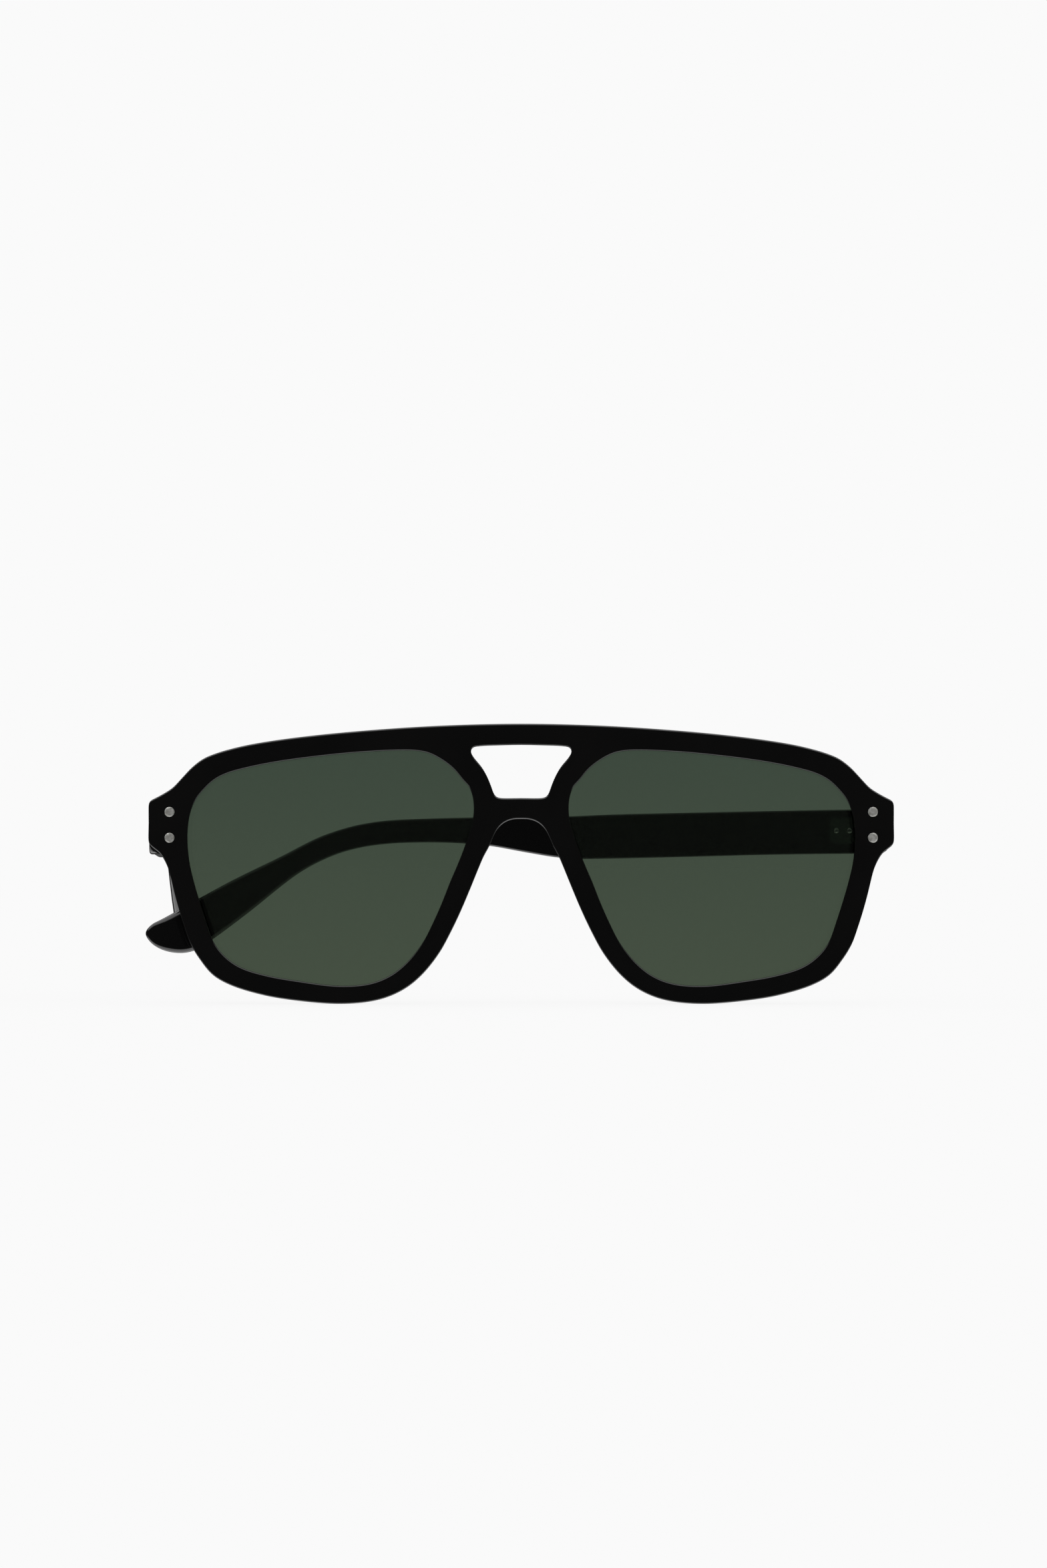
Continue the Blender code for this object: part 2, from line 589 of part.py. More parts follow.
def temple_recess(side, joint):
    bm = bmesh.new()
    floor = TEMPLE_INNER - TEMPLE_PLATE_PROUD + PLATE_THICKNESS + GAP
    temple_plate(bm, side, TEMPLE_INNER - CUT_PAST, floor, GAP)
    return new_object(f"cut_temple_recess_{SIDE_NAMES[side]}", bm, joint)


def temple_rivet_holes(side, joint):
    bm = bmesh.new()
    radius = TEMPLE_RIVET_RADIUS + GAP
    for along in TEMPLE_RIVET_ALONG.values():
        profile = [(radius, 0), (radius, side * (TEMPLE_RIVET_END + GAP))]
        add_turned(bm, profile, (0, along, TEMPLE_RIVET_Z), "X")
    return new_object(f"cut_temple_rivet_holes_{SIDE_NAMES[side]}", bm, joint)


def temple_rivet(side, level, joint, finish):
    bm = bmesh.new()
    start = TEMPLE_INNER - TEMPLE_PLATE_PROUD - TEMPLE_RIVET_PROUD
    radius, edge = TEMPLE_RIVET_RADIUS, TEMPLE_RIVET_CHAMFER
    profile = [(radius - edge, start), (radius, start + edge), (radius, TEMPLE_RIVET_END)]
    profile = [(r, side * x) for r, x in profile]
    add_turned(bm, profile, (0, TEMPLE_RIVET_ALONG[level], TEMPLE_RIVET_Z), "X")
    new_object(f"temple_rivet_{level}_{SIDE_NAMES[side]}", bm, joint, finish)


def temple_hinge(side, joint, finish):
    bm = bmesh.new()
    face = TEMPLE_INNER - TEMPLE_PLATE_PROUD
    temple_plate(bm, side, face, face + PLATE_THICKNESS, 0)
    near, far = sorted((side * WEB_START, side * (face + WEB_SUNK)))
    web = ((near, WEB_SET_IN - WEB_HALF_WIDTH), (far, WEB_HALF_WIDTH))
    leaf = hinge_leaf(f"temple_hinge_{SIDE_NAMES[side]}", bm, 1, web, joint, finish)
    combine(leaf, bpy.data.objects[f"cut_temple_rivet_holes_{SIDE_NAMES[side]}"], "DIFFERENCE")


def core_wire_tube(side, joint, name, spread, start, finish=None):
    """The wire inside the arm from Y = start, or its channel, which is larger all round by `spread`."""
    (_, first_z), *middle, (last_y, last_z) = CORE_WIRE_PATH
    path = [(start, first_z), *middle, (last_y + spread, last_z)]
    radius = CORE_WIRE_RADIUS + spread
    before = (2 * path[0][0] - path[1][0], path[0][1])
    after = (2 * path[-1][0] - path[-2][0], 2 * path[-1][1] - path[-2][1])
    line = thin_out(curve_through(path, before, after, 1.0))
    bm = bmesh.new()
    rings = []
    for i, here in enumerate(line):
        along = (line[min(i + 1, len(line) - 1)] - line[max(i - 1, 0)]).normalized()
        across = Vector((-along.y, along.x))
        ring = []
        for k in range(CORE_WIRE_SIDES):
            angle = 2 * math.pi * k / CORE_WIRE_SIDES
            flat = here + across * radius * math.sin(angle)
            x = CORE_WIRE_X - tip_bend(here.x) + radius * math.cos(angle)
            ring.append((side * x, flat.x, flat.y))
        rings.append(add_ring(bm, ring))
    add_wall(bm, rings)
    bm.faces.new(rings[0])
    bm.faces.new(rings[-1])
    return new_object(name, bm, joint, finish)


def empty(name, parent, place, turn=0.0):
    made = bpy.data.objects.new(name, None)
    bpy.context.scene.collection.objects.link(made)
    made.parent = parent
    made.location = Vector(place) * MM
    made.rotation_euler = (0, 0, turn)
    return made


def main():
    for old in list(bpy.data.objects):
        bpy.data.objects.remove(old)
    acetate = material("black_acetate", (0.012, 0.012, 0.012), 0.12)
    tint = material("green_lens", (0.058, 0.078, 0.055), 0.05, alpha=0.6)
    steel = material("steel", (0.62, 0.62, 0.63), 0.25, metallic=1.0)
    origin = empty("origin", None, (0, -MIDDLE_Y, 0))
    front_frame(origin, acetate)
    for side in (RIGHT, LEFT):
        name = SIDE_NAMES[side]
        lens(side, origin, tint)
        nose_pad(side, origin, acetate)
        hinge = empty(f"hinge_axis_{name}", origin, (side * HINGE_X, HINGE_Y, 0))
        joint = empty(f"temple_joint_{name}", hinge, (0, 0, 0), REST_ANGLE[side])
        front_hinge(side, hinge, steel)
        hinge_screw(side, hinge, steel)
        for level in FRONT_RIVET_Z:
            front_rivet(side, level, origin, steel)
        temple(side, joint, acetate)
        temple_hinge(side, joint, steel)
        core_wire_tube(side, joint, f"core_wire_{name}", 0.0, CORE_WIRE_PATH[0][0], steel)
        for level in TEMPLE_RIVET_ALONG:
            temple_rivet(side, level, joint, steel)


main()
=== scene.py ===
"""Looks for the aviator sunglasses: polished black acetate, tinted lenses and steel fittings.

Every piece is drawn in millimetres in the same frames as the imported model. The front is drawn in X and Z,
with Y = 0 at the middle of its front face. Each temple has its own frame, whose origin is on its hinge axis:
Y runs along the arm, and X points away from the head on the left temple and is mirrored on the right one.
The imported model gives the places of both.
"""

import json
import math

import bmesh
import bpy
from mathutils import Matrix, Vector
from mathutils.geometry import delaunay_2d_cdt


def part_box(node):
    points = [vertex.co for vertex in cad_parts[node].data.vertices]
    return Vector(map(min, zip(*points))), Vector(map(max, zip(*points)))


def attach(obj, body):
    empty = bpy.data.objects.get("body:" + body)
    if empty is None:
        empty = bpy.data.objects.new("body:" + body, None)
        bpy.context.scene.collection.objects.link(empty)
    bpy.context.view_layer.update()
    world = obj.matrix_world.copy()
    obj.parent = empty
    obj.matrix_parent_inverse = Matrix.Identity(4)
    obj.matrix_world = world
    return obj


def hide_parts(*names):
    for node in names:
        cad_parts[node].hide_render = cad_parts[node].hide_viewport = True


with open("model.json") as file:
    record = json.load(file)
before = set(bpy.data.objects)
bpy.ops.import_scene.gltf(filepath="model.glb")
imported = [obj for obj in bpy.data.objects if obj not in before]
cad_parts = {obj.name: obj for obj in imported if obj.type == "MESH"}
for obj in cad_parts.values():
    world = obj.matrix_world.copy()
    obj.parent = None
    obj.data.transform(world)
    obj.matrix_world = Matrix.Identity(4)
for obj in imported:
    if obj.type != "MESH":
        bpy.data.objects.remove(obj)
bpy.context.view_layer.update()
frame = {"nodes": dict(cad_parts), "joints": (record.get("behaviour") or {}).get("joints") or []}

MM = 0.001
GAP = 0.3  # clearance between separate pieces in the model
FIT = 0.02  # clearance that shows between fitted pieces
BARREL_PLAY = 0.06  # gap that shows between hinge barrels
GRID_STEP = 2.0  # spacing of the points inside the front's faces
CURVE_STEP = 0.06  # spacing of the points first taken along a curve
CHORD_ERROR = 0.006  # how far a facet may stray from its curve
LONGEST_FACET = 3.0
SHARP_ANGLE = 32.0  # degrees between two faces from which their edge stays sharp
CUT_PAST = 1.0  # how far a recess or hole cut reaches beyond the surface
LEFT, RIGHT = 1, -1
SIDE_NAMES = {LEFT: "left", RIGHT: "right"}

# Front
FRONT_THICKNESS = 4.0
FRONT_BEND_RADIUS = 480.0
EDGE_ROUND = 0.35  # radius of the front's polished edges
FLAT_STRIP = 0.1  # flat band between a rounded edge and the face, which keeps the face's shading flat
OPENING_ROUND = 0.3
ROUND_STEPS = 4
END_PIECE_BACK = 10.6  # Y of the flat hinge seat
END_PIECE_START = 61.0  # X where the back begins to thicken towards the seat
END_PIECE_FLAT = 66.0  # X from which the seat is flat
END_PIECE_LOW, END_PIECE_FULL = 20.0, 28.0  # Z over which the thickening fades in
MITRE_START = 69.8  # X where the mitred joint between end piece and temple begins
MITRE_SLOPE = 3.0 / 3.6
MITRE_HEIGHTS = (20.0, 50.0)  # Z from and to which the mitre cuts reach, past the ends of the joint

# Half of the front's outline, from the middle of the brow round the end piece and rim to the top of the arch.
FRONT_OUTLINE = [
    (0, 55.16), (16, 54.78), (32, 53.72), (44, 52.5), (52, 51.34), (56, 50.52), (60, 49.39), (62.6, 48.3),
    (64.8, 46.65), (66.7, 44.65), (68.6, 42.65), (70.07, 41.65), (71.87, 40.65), (72.9, 40.15),
    (73.35, 39.7), (73.45, 39.1), (73.45, 35.5), (73.45, 31.9), (73.2, 31.25), (71.3, 29.7), (70.6, 28.75),
    (69.6, 26.7), (68.31, 21.65), (67.49, 18.65), (66.55, 15.65), (65.1, 11.65), (63.27, 8.65),
    (60.75, 5.65), (57.25, 3.65), (50.59, 1.65), (44, 0.6), (36, 0), (30, 0.42), (26, 1.45), (22.4, 3.3),
    (19.26, 6), (16.13, 10), (13.92, 14), (12.01, 18), (10.3, 22), (8.67, 26), (7.4, 29), (6.3, 31),
    (5.6, 32.65), (4.65, 34.45), (3.5, 35.6), (1.9, 36.3), (0, 36.43),
]
# The left lens opening, from the top nasal corner along the brow and round.
LENS_OPENING = [
    (10.25, 42.7), (11.44, 44), (13.06, 46), (15.2, 47.75), (18, 49.27), (20.5, 49.8), (24, 49.9),
    (32, 49.5), (40, 48.71), (48, 47.63), (54, 46.45), (58, 45.33), (60.5, 44.05), (62.7, 42), (64.24, 40),
    (65.3, 37.2), (65.75, 33), (65.37, 28), (64.46, 24), (63.3, 20), (62, 16), (60.5, 12), (58.2, 9.2),
    (55.2, 7.2), (50.2, 5.65), (44, 4.56), (36, 3.6), (30, 4.02), (26, 5.5), (22.7, 8), (19.43, 12),
    (17.35, 16), (15.57, 20), (14, 24), (12.28, 28), (10.6, 32.5), (9.5, 36.5), (9.33, 39), (9.6, 41),
]
# Half of the window in the double bridge, from the middle of its top to the middle of its floor.
BRIDGE_WINDOW = [
    (0, 50.98), (4, 50.9), (8, 50.75), (9.5, 50.5), (9.96, 49.8), (9.5, 48.75), (7.79, 46.65),
    (6.65, 44.65), (5.84, 42.65), (5.35, 41.3), (4.8, 40.7), (4, 40.53), (0, 40.53),
]

# Lenses
LENS_THICKNESS = 2.0
LENS_BULGE = 1.0  # how far the middle of a lens stands forward of its edge plane
LENS_LAP = 0.5  # how far the lens reaches into the groove
GROOVE_DEPTH = LENS_LAP + GAP
GROOVE_START = 0.7  # depth of the groove's front wall behind the front face
GROOVE_END = GROOVE_START + LENS_THICKNESS + 2 * GAP
LENS_RINGS = 12
LENS_CENTRE = (38.0, 28.0)

# Nose pads
PAD_LOW, PAD_HIGH = 13.5, 29.5  # Z of the pad's ends
PAD_SET_IN = 0.5  # from the edge of the nose arch
PAD_WIDTH = 3.2
PAD_HEIGHT = 3.5
PAD_WALL = 0.3  # share of the height below which the pad's sides are straight
PAD_ROUND = 0.95  # how far its rounded back draws in
PAD_ROUND_DEGREES = 80
PAD_STEPS = 8
PAD_FINE_STEPS = 24

# Hinges
HINGE_X, HINGE_Y = 67.7, 13.2
BARREL_RADIUS, BORE_RADIUS = 1.3, 0.85
BARREL_HEIGHT = 0.98
BARRELS = 5
BARREL_LOW = 31.0
WEB_HALF_WIDTH = 0.9
WEB_START = 1.0  # distance from the axis at which a web leaves its barrel
WEB_SUNK = 0.1  # how far a web reaches into its plate
BARREL_CHAMFER = 0.08
WEB_SET_IN = 0.09  # how much lower a web is than its barrel, top and bottom
TEMPLE_WEB_SET_IN = 0.15  # how much narrower a temple's web is on its front side
PLATE_THICKNESS = 0.8
FRONT_PLATE_ROUND, TEMPLE_PLATE_ROUND = 0.1, 0.28  # edge radius of each hinge plate
FRONT_PLATE_X = (65.9, 69.3)
FRONT_PLATE_Z = (31.3, 38.9)
FRONT_PLATE_SUNK = 0.4
ROUND_SIDES = 48

# Screws and rivets
SCREW_HEAD_RADIUS = 1.0
SCREW_HEAD_HEIGHT = 0.6
SCREW_HEAD_SUNK = 0.16  # how far the head reaches down to its barrel
SCREW_SLOT_WIDTH, SCREW_SLOT_DEPTH = 0.3, 0.3
FRONT_RIVET_RADIUS = 0.98
FRONT_RIVET_LENGTH = 2.9
FRONT_RIVET_X = 69.3
FRONT_RIVET_Z = {"upper": 37.8, "lower": 32.7}
SEAM_WIDTH = 0.06  # of the fine groove round a front rivet
SEAM_START, SEAM_END = 0.02, 0.08  # depths over which the groove narrows
TEMPLE_RIVET_RADIUS = 0.55
TEMPLE_RIVET_Z = 34.05
TEMPLE_RIVET_ALONG = {"near": 2.9, "far": 5.5}
TEMPLE_RIVET_PROUD = 0.15
TEMPLE_RIVET_END = 3.1  # distance of the pin's inner end from the hinge axis, across the temple

# Temples, in their own frame
TEMPLE_INNER, TEMPLE_OUTER = 2.1, 5.7  # X of the face towards the head and of the outer face
TEMPLE_ROUND, TIP_ROUND, END_ROUND = 0.5, 1.15, 0.72  # edge radius along the arm, at the tip, round its end
TIP_ROUND_START, TIP_ROUND_FULL = 95.0, 125.0
END_ROUND_START, END_ROUND_FULL = 137.0, 141.0
TEMPLE_END = -5.3
TEMPLE_LENGTH = 142.0  # from the hinge axis to the end of the tip
TIP_BEND_START, TIP_BEND_LENGTH, TIP_BEND = 95.0, 47.0, 3.0
TEMPLE_PLATE_Y = (-0.9, 6.8)
TEMPLE_PLATE_Z = (31.5, 36.6)
TEMPLE_PLATE_PROUD = 0.45
PLATE_CORNER = 1.2
# The temple's side view as (Y, Z), from the lower end corner along the bottom, round the tip and back.
TEMPLE_OUTLINE = [
    (TEMPLE_END, 31.6), (-4.75, 30.15), (-3.3, 29.5), (2.4, 29.5), (18.5, 29.3), (34, 28.9), (50, 28.55),
    (57, 28.5), (61, 28.8), (67, 29.8), (74, 31.05), (80, 31.6), (87, 31.75), (94.3, 31.45), (100, 30.6),
    (105.2, 29), (111.4, 25.8), (121.9, 17.6), (128.4, 12.75), (131.8, 10.55), (134.8, 9.85), (138.4, 10.4),
    (140.9, 11.9), (TEMPLE_LENGTH, 13.8), (140.9, 15.4), (138.6, 16.65), (135.2, 18.5), (125, 24.1),
    (114.8, 29.1), (111, 31.1), (107, 33), (101.3, 34.85), (97, 35.7), (93.4, 36.1), (85.6, 36.45),
    (77.6, 36.65), (58, 36.9), (50.7, 37.2), (26, 37.75), (2.4, 38.2), (-4, 38.2), (-4.92, 37.82),
    (TEMPLE_END, 36.9),
]
CORE_WIRE_RADIUS = 0.5
CORE_WIRE_X = 4.5
CORE_WIRE_SIDES = 6
CORE_WIRE_PATH = [
    (-1.5, 33.8), (25, 33.4), (55, 32.8), (75, 33.8), (90, 34), (99, 32.9), (107, 30.6), (114, 26.9),
    (128, 17.3),
]

# Camera, backdrop and light
CAMERA_DISTANCE = 2.5  # metres, from the front face
CAMERA_WIDTH = 0.2059  # metres of the front's plane across the picture
CAMERA_AIM_X, CAMERA_AIM_Z = 0.00045, 0.0433
SENSOR_WIDTH = 36.0
BACKDROP = 0.956
FLOOR_SIZE = 8.0
FLOOR_DIFFUSE, FLOOR_GLOW = 0.25, 0.858
SOFT_LIGHT = 0.39  # even light from all round on matt surfaces
STUDIO_DARK, STUDIO_BEHIND = 0.036, 0.08  # what gloss reflects from the camera's side and from behind
TABLE_LIGHT, TABLE_EDGE = 2.3, (-0.27, -0.49)  # the lit table's level, and how far down it fades in
TABLE_NEAR_LEAN, TABLE_FAR_LEAN = -0.5, 0.25  # how much lower it starts towards the camera and away from it
OVERHEAD_LIGHT, OVERHEAD_EDGE = 2.2, (0.45, 0.7)
LIGHTS_END = (0.9, 0.6)  # how far towards the back both lights fade out

# Materials
ACETATE_COLOURS = ((0.003, 0.003, 0.003, 1), (0.004, 0.0039, 0.0038, 1))
LENS_LOW, LENS_HIGH = 0.004, 0.050  # metres above the floor where the two lens colours are reached
LENS_COLOURS = ((0.064, 0.085, 0.058, 1), (0.050, 0.071, 0.051, 1))
STEEL_COLOURS = ((0.5, 0.5, 0.52, 1), (0.68, 0.68, 0.68, 1))
NICKEL_COLOURS = ((0.72, 0.72, 0.66, 1), (0.86, 0.86, 0.82, 1))


front_low, front_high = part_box("front_frame")
JOINTS = {joint["child"]: joint for joint in frame["joints"]}
FRONT_PLACE = Matrix.Translation((0, front_low.y, 0))


def hinge_place(side):
    """The hinge axis where the front's hinge leaf and screw are drawn."""
    x, y, _ = JOINTS[f"temple_{SIDE_NAMES[side]}"]["pos_m"]
    return Matrix.Translation((x, y, 0))


def temple_place(side):
    """The temple's own frame: turned by a right angle where the temple is folded at rest."""
    low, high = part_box(f"temple_{SIDE_NAMES[side]}")
    folded = high.x - low.x > high.y - low.y
    return hinge_place(side) @ Matrix.Rotation(math.radians(90 if folded else 0) * side, 4, "Z")


def catmull_rom(p0, p1, p2, p3, count):
    """`count` points from p1 up to, but not including, p2 on the centripetal curve through the four."""
    p0, p1, p2, p3 = (Vector(p) for p in (p0, p1, p2, p3))
    t1 = math.sqrt((p1 - p0).length)
    t2 = t1 + math.sqrt((p2 - p1).length)
    t3 = t2 + math.sqrt((p3 - p2).length)
    points = []
    for i in range(count):
        t = t1 + (t2 - t1) * i / count
        a1 = p0.lerp(p1, t / t1)
        a2 = p1.lerp(p2, (t - t1) / (t2 - t1))
        a3 = p2.lerp(p3, (t - t2) / (t3 - t2))
        b1 = a1.lerp(a2, t / t2)
        b2 = a2.lerp(a3, (t - t1) / (t3 - t1))
        points.append(b1.lerp(b2, (t - t1) / (t2 - t1)))
    return points


def curve_through(points, before, after, step=CURVE_STEP):
    """A smooth open curve through `points`; `before` and `after` set its direction at the ends."""
    controls = [before, *points, after]
    curve = []
    for i in range(1, len(controls) - 2):
        count = max(2, round((Vector(controls[i + 1]) - Vector(controls[i])).length / step))
        curve += catmull_rom(*controls[i - 1 : i + 3], count)
    return relaxed([*curve, Vector(points[-1])])


def relaxed(curve, reach=8, passes=2):
    """Each point averaged with its neighbours, which evens out the curvature. The ends stay."""
    for _ in range(passes):
        evened = []
        for i in range(len(curve)):
            near = min(reach, i, len(curve) - 1 - i)
            evened.append(sum(curve[i - near : i + near + 1], Vector((0, 0))) / (2 * near + 1))
        curve = evened
    return curve


def thin_out(points, tolerance=CHORD_ERROR):
    """The fewest of the points whose straight lines stay within `tolerance` of the curve."""
    first, last = points[0], points[-1]
    chord = last - first
    if len(points) < 3:
        return points
    if chord.length > LONGEST_FACET or chord.length < tolerance:
        middle = len(points) // 2
    else:
        across = Vector((-chord.y, chord.x)).normalized()
        middle = max(range(1, len(points) - 1), key=lambda i: abs((points[i] - first).dot(across)))
        if abs((points[middle] - first).dot(across)) < tolerance:
            return [first, last]
    return thin_out(points[: middle + 1], tolerance)[:-1] + thin_out(points[middle:], tolerance)


def mirrored(points):
    return [Vector((-p[0], p[1])) for p in points]


def symmetric_loop(half):
    """A closed loop from the half with X >= 0, which starts and ends on the middle line."""
    curve = thin_out(curve_through(half, mirrored(half)[1], mirrored(half)[-2]))
    return curve + mirrored(curve)[-2:0:-1]


def closed_loop(points):
    return thin_out(curve_through([*points, points[0]], points[-1], points[1]))[:-1]


def signed_area(loop):
    return sum(a[0] * b[1] - b[0] * a[1] for a, b in zip(loop, loop[1:] + loop[:1])) / 2


def offset(loop, distance):
    """The closed loop moved outwards by `distance`, or inwards when that is negative."""
    turn = 1 if signed_area(loop) > 0 else -1
    moved = []
    for before, here, after in zip(loop[-1:] + loop[:-1], loop, loop[1:] + loop[:1]):
        one, two = (here - before).normalized(), (after - here).normalized()
        normals = [Vector((d.y, -d.x)) * turn for d in (one, two)]
        middle = (normals[0] + normals[1]).normalized()
        moved.append(here + middle * distance / max(middle.dot(normals[0]), 0.5))
    return moved


def offset_each(loop, distances):
    """As offset, with a distance of its own for each point."""
    shift = offset(loop, 1.0)
    return [p + (q - p) * distance for p, q, distance in zip(loop, shift, distances)]


def inside(point, loop):
    crossings = 0
    for a, b in zip(loop, loop[1:] + loop[:1]):
        if (a.y > point.y) != (b.y > point.y):
            crossings += point.x < a.x + (point.y - a.y) * (b.x - a.x) / (b.y - a.y)
    return crossings % 2 == 1


def add_ring(bm, points):
    return [bm.verts.new(Vector(p) * MM) for p in points]


def add_wall(bm, rings):
    """Quads between each ring of vertices and the next."""
    for near, far in zip(rings, rings[1:]):
        for i in range(len(near)):
            j = (i + 1) % len(near)
            bm.faces.new((near[i], near[j], far[j], far[i]))


def add_cap(bm, outer, holes, flat_outer, flat_holes, extra=()):
    """Triangles between `outer` and the holes. `extra` holds (flat point, vertex) pairs inside them."""
    verts = [v for ring in [outer, *holes] for v in ring] + [v for _, v in extra]
    flat = [p for loop in [flat_outer, *flat_holes] for p in loop] + [p for p, _ in extra]
    edges = []
    start = 0
    for ring in [outer, *holes]:
        edges += [(start + i, start + (i + 1) % len(ring)) for i in range(len(ring))]
        start += len(ring)
    places, _, triangles, origins, _, _ = delaunay_2d_cdt(flat, edges, [], 1, 1e-6)
    for triangle in triangles:
        middle = sum((places[i] for i in triangle), Vector((0, 0))) / 3
        if inside(middle, flat_outer) and not any(inside(middle, hole) for hole in flat_holes):
            bm.faces.new([verts[origins[i][0]] for i in triangle])


def add_box(bm, low, high):
    xs, ys, zs = zip(low, high)
    v = add_ring(bm, [(x, y, z) for x in xs for y in ys for z in zs])
    for face in ((0, 1, 3, 2), (4, 6, 7, 5), (0, 4, 5, 1), (2, 3, 7, 6), (0, 2, 6, 4), (1, 5, 7, 3)):
        bm.faces.new([v[i] for i in face])


def add_prism(bm, base, top):
    """A closed solid between two equal rings of points."""
    rings = [add_ring(bm, base), add_ring(bm, top)]
    add_wall(bm, rings)
    for ring in rings:
        bm.faces.new(ring)


def add_turned(bm, profile, place, axis="Z", sides=ROUND_SIDES):
    """A solid of revolution. The profile is (radius, height) pairs along the axis from `place`."""
    rings = []
    for radius, height in profile:
        ring = []
        for i in range(sides):
            a, b = (radius * f(2 * math.pi * i / sides) for f in (math.cos, math.sin))
            point = {"X": (height, a, b), "Y": (a, height, b), "Z": (a, b, height)}[axis]
            ring.append(Vector(place) + Vector(point))
        rings.append(add_ring(bm, ring))
    add_wall(bm, rings)
    bm.faces.new(rings[0])
    bm.faces.new(rings[-1])


def add_dish(bm, profile, place, axis, sides=ROUND_SIDES):
    """A solid of revolution as add_turned makes, for a profile that starts on its axis."""
    first = len(bm.verts)
    add_turned(bm, profile, place, axis, sides)
    bmesh.ops.remove_doubles(bm, verts=list(bm.verts)[first:], dist=1e-7)


def new_object(name, bm, place, material=None):
    bmesh.ops.recalc_face_normals(bm, faces=bm.faces)
    mesh = bpy.data.meshes.new(name)
    bm.to_mesh(mesh)
    bm.free()
    mesh.transform(place)
    if material:
        mesh.materials.append(material)
    obj = bpy.data.objects.new(name, mesh)
    bpy.context.scene.collection.objects.link(obj)
    return obj


def combine(target, other, operation="DIFFERENCE"):
    """Cuts `other` out of the target, or joins it to it, and deletes it."""
    modifier = target.modifiers.new("boolean", "BOOLEAN")
    modifier.operation = operation
    modifier.object = other
    modifier.solver = "EXACT"
    apply_modifiers(target)
    bpy.data.objects.remove(other)


def apply_modifiers(obj):
    bpy.context.view_layer.update()
    evaluated = obj.evaluated_get(bpy.context.evaluated_depsgraph_get())
    old = obj.data
    obj.data = bpy.data.meshes.new_from_object(evaluated)
    obj.data.name = obj.name
    obj.modifiers.clear()
    bpy.data.meshes.remove(old)


def finish_piece(obj, body, slot, *nodes):
    """Smooth shading that keeps flat faces flat, and the piece's place in the frame."""
    obj.data.shade_smooth()
    obj.data.set_sharp_from_angle(angle=math.radians(SHARP_ANGLE))
    modifier = obj.modifiers.new("weighted normals", "WEIGHTED_NORMAL")
    modifier.mode = "FACE_AREA"
    modifier.keep_sharp = True
    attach(obj, body)
    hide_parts(*nodes)


def rounding(radius):
    """(inset, depth) pairs down a rounded edge, from the face to the wall."""
    angles = [math.radians(90 * i / ROUND_STEPS) for i in range(ROUND_STEPS + 1)]
    return [(radius * (1 - math.sin(a)), radius * (1 - math.cos(a))) for a in angles]


def fade(value, start, end):
    t = min(max((value - start) / (end - start), 0.0), 1.0)
    return t * t * (3 - 2 * t)


def front_y(x):
    return x * x / (2 * FRONT_BEND_RADIUS)


def back_y(x, z):
    """The front's back face, which thickens to the flat hinge seats."""
    plain = front_y(x) + FRONT_THICKNESS
    share = fade(abs(x), END_PIECE_START, END_PIECE_FLAT) * fade(z, END_PIECE_LOW, END_PIECE_FULL)
    return plain + (END_PIECE_BACK - plain) * share


def front_ring(bm, loop, side, depth):
    """The loop at `depth` behind the front face, or in front of the back face."""
    if side == "front":
        return add_ring(bm, [(p.x, front_y(p.x) + depth, p.y) for p in loop])
    return add_ring(bm, [(p.x, back_y(p.x, p.y) - depth, p.y) for p in loop])


def front_frame(finish):
    """The bent front with its edges, lens grooves, bridge window, hinge recesses, mitres and rivet holes."""
    bm = bmesh.new()
    outer = symmetric_loop(FRONT_OUTLINE)
    window = symmetric_loop(BRIDGE_WINDOW)
    left_opening = closed_loop(LENS_OPENING)
    groove = [(0, "front", GROOVE_START), (GROOVE_DEPTH, "front", GROOVE_START)]
    groove += [(GROOVE_DEPTH, "front", GROOVE_END), (0, "front", GROOVE_END)]
    first, last, flat = [], [], []
    for loop, into_material, radius, middle in (
        (outer, -1, EDGE_ROUND, []),
        (window, 1, EDGE_ROUND, []),
        (left_opening, 1, OPENING_ROUND, groove),
        (mirrored(left_opening), 1, OPENING_ROUND, groove),
    ):
        edge = [(radius + FLAT_STRIP, 0), *rounding(radius)]
        profile = [(inset, "front", depth) for inset, depth in edge] + middle
        profile += [(inset, "back", depth) for inset, depth in reversed(edge)]
        rings = []
        for inset, side, depth in profile:
            rings.append(front_ring(bm, offset(loop, into_material * inset), side, depth))
        add_wall(bm, rings)
        first.append(rings[0])
        last.append(rings[-1])
        flat.append(offset(loop, into_material * (radius + FLAT_STRIP)))
    for rings, side in ((first, "front"), (last, "back")):
        face = []
        for place in inner_points(flat):
            face.append((place, front_ring(bm, [place], side, 0)[0]))
        add_cap(bm, rings[0], rings[1:], flat[0], flat[1:], face)
    front = new_object("front", bm, FRONT_PLACE, finish)
    for side in (LEFT, RIGHT):
        combine(front, hinge_recess(side))
        combine(front, mitre(side))
        combine(front, front_rivet_holes(side))
    finish_piece(front, "front", "black_acetate", "front_frame")


def inner_points(flat):
    """Points of an even grid inside the face, clear of its edges."""
    margin = GRID_STEP * 0.4
    outer = offset(flat[0], -margin)
    holes = [offset(hole, margin) for hole in flat[1:]]
    points = []
    columns, rows = (math.ceil(max(p[axis] for p in outer) / GRID_STEP) for axis in (0, 1))
    for i in range(-columns, columns + 1):
        for k in range(rows):
            place = Vector((i * GRID_STEP, k * GRID_STEP + (i % 2) * GRID_STEP / 2))
            if inside(place, outer) and not any(inside(place, hole) for hole in holes):
                points.append(place)
    return points


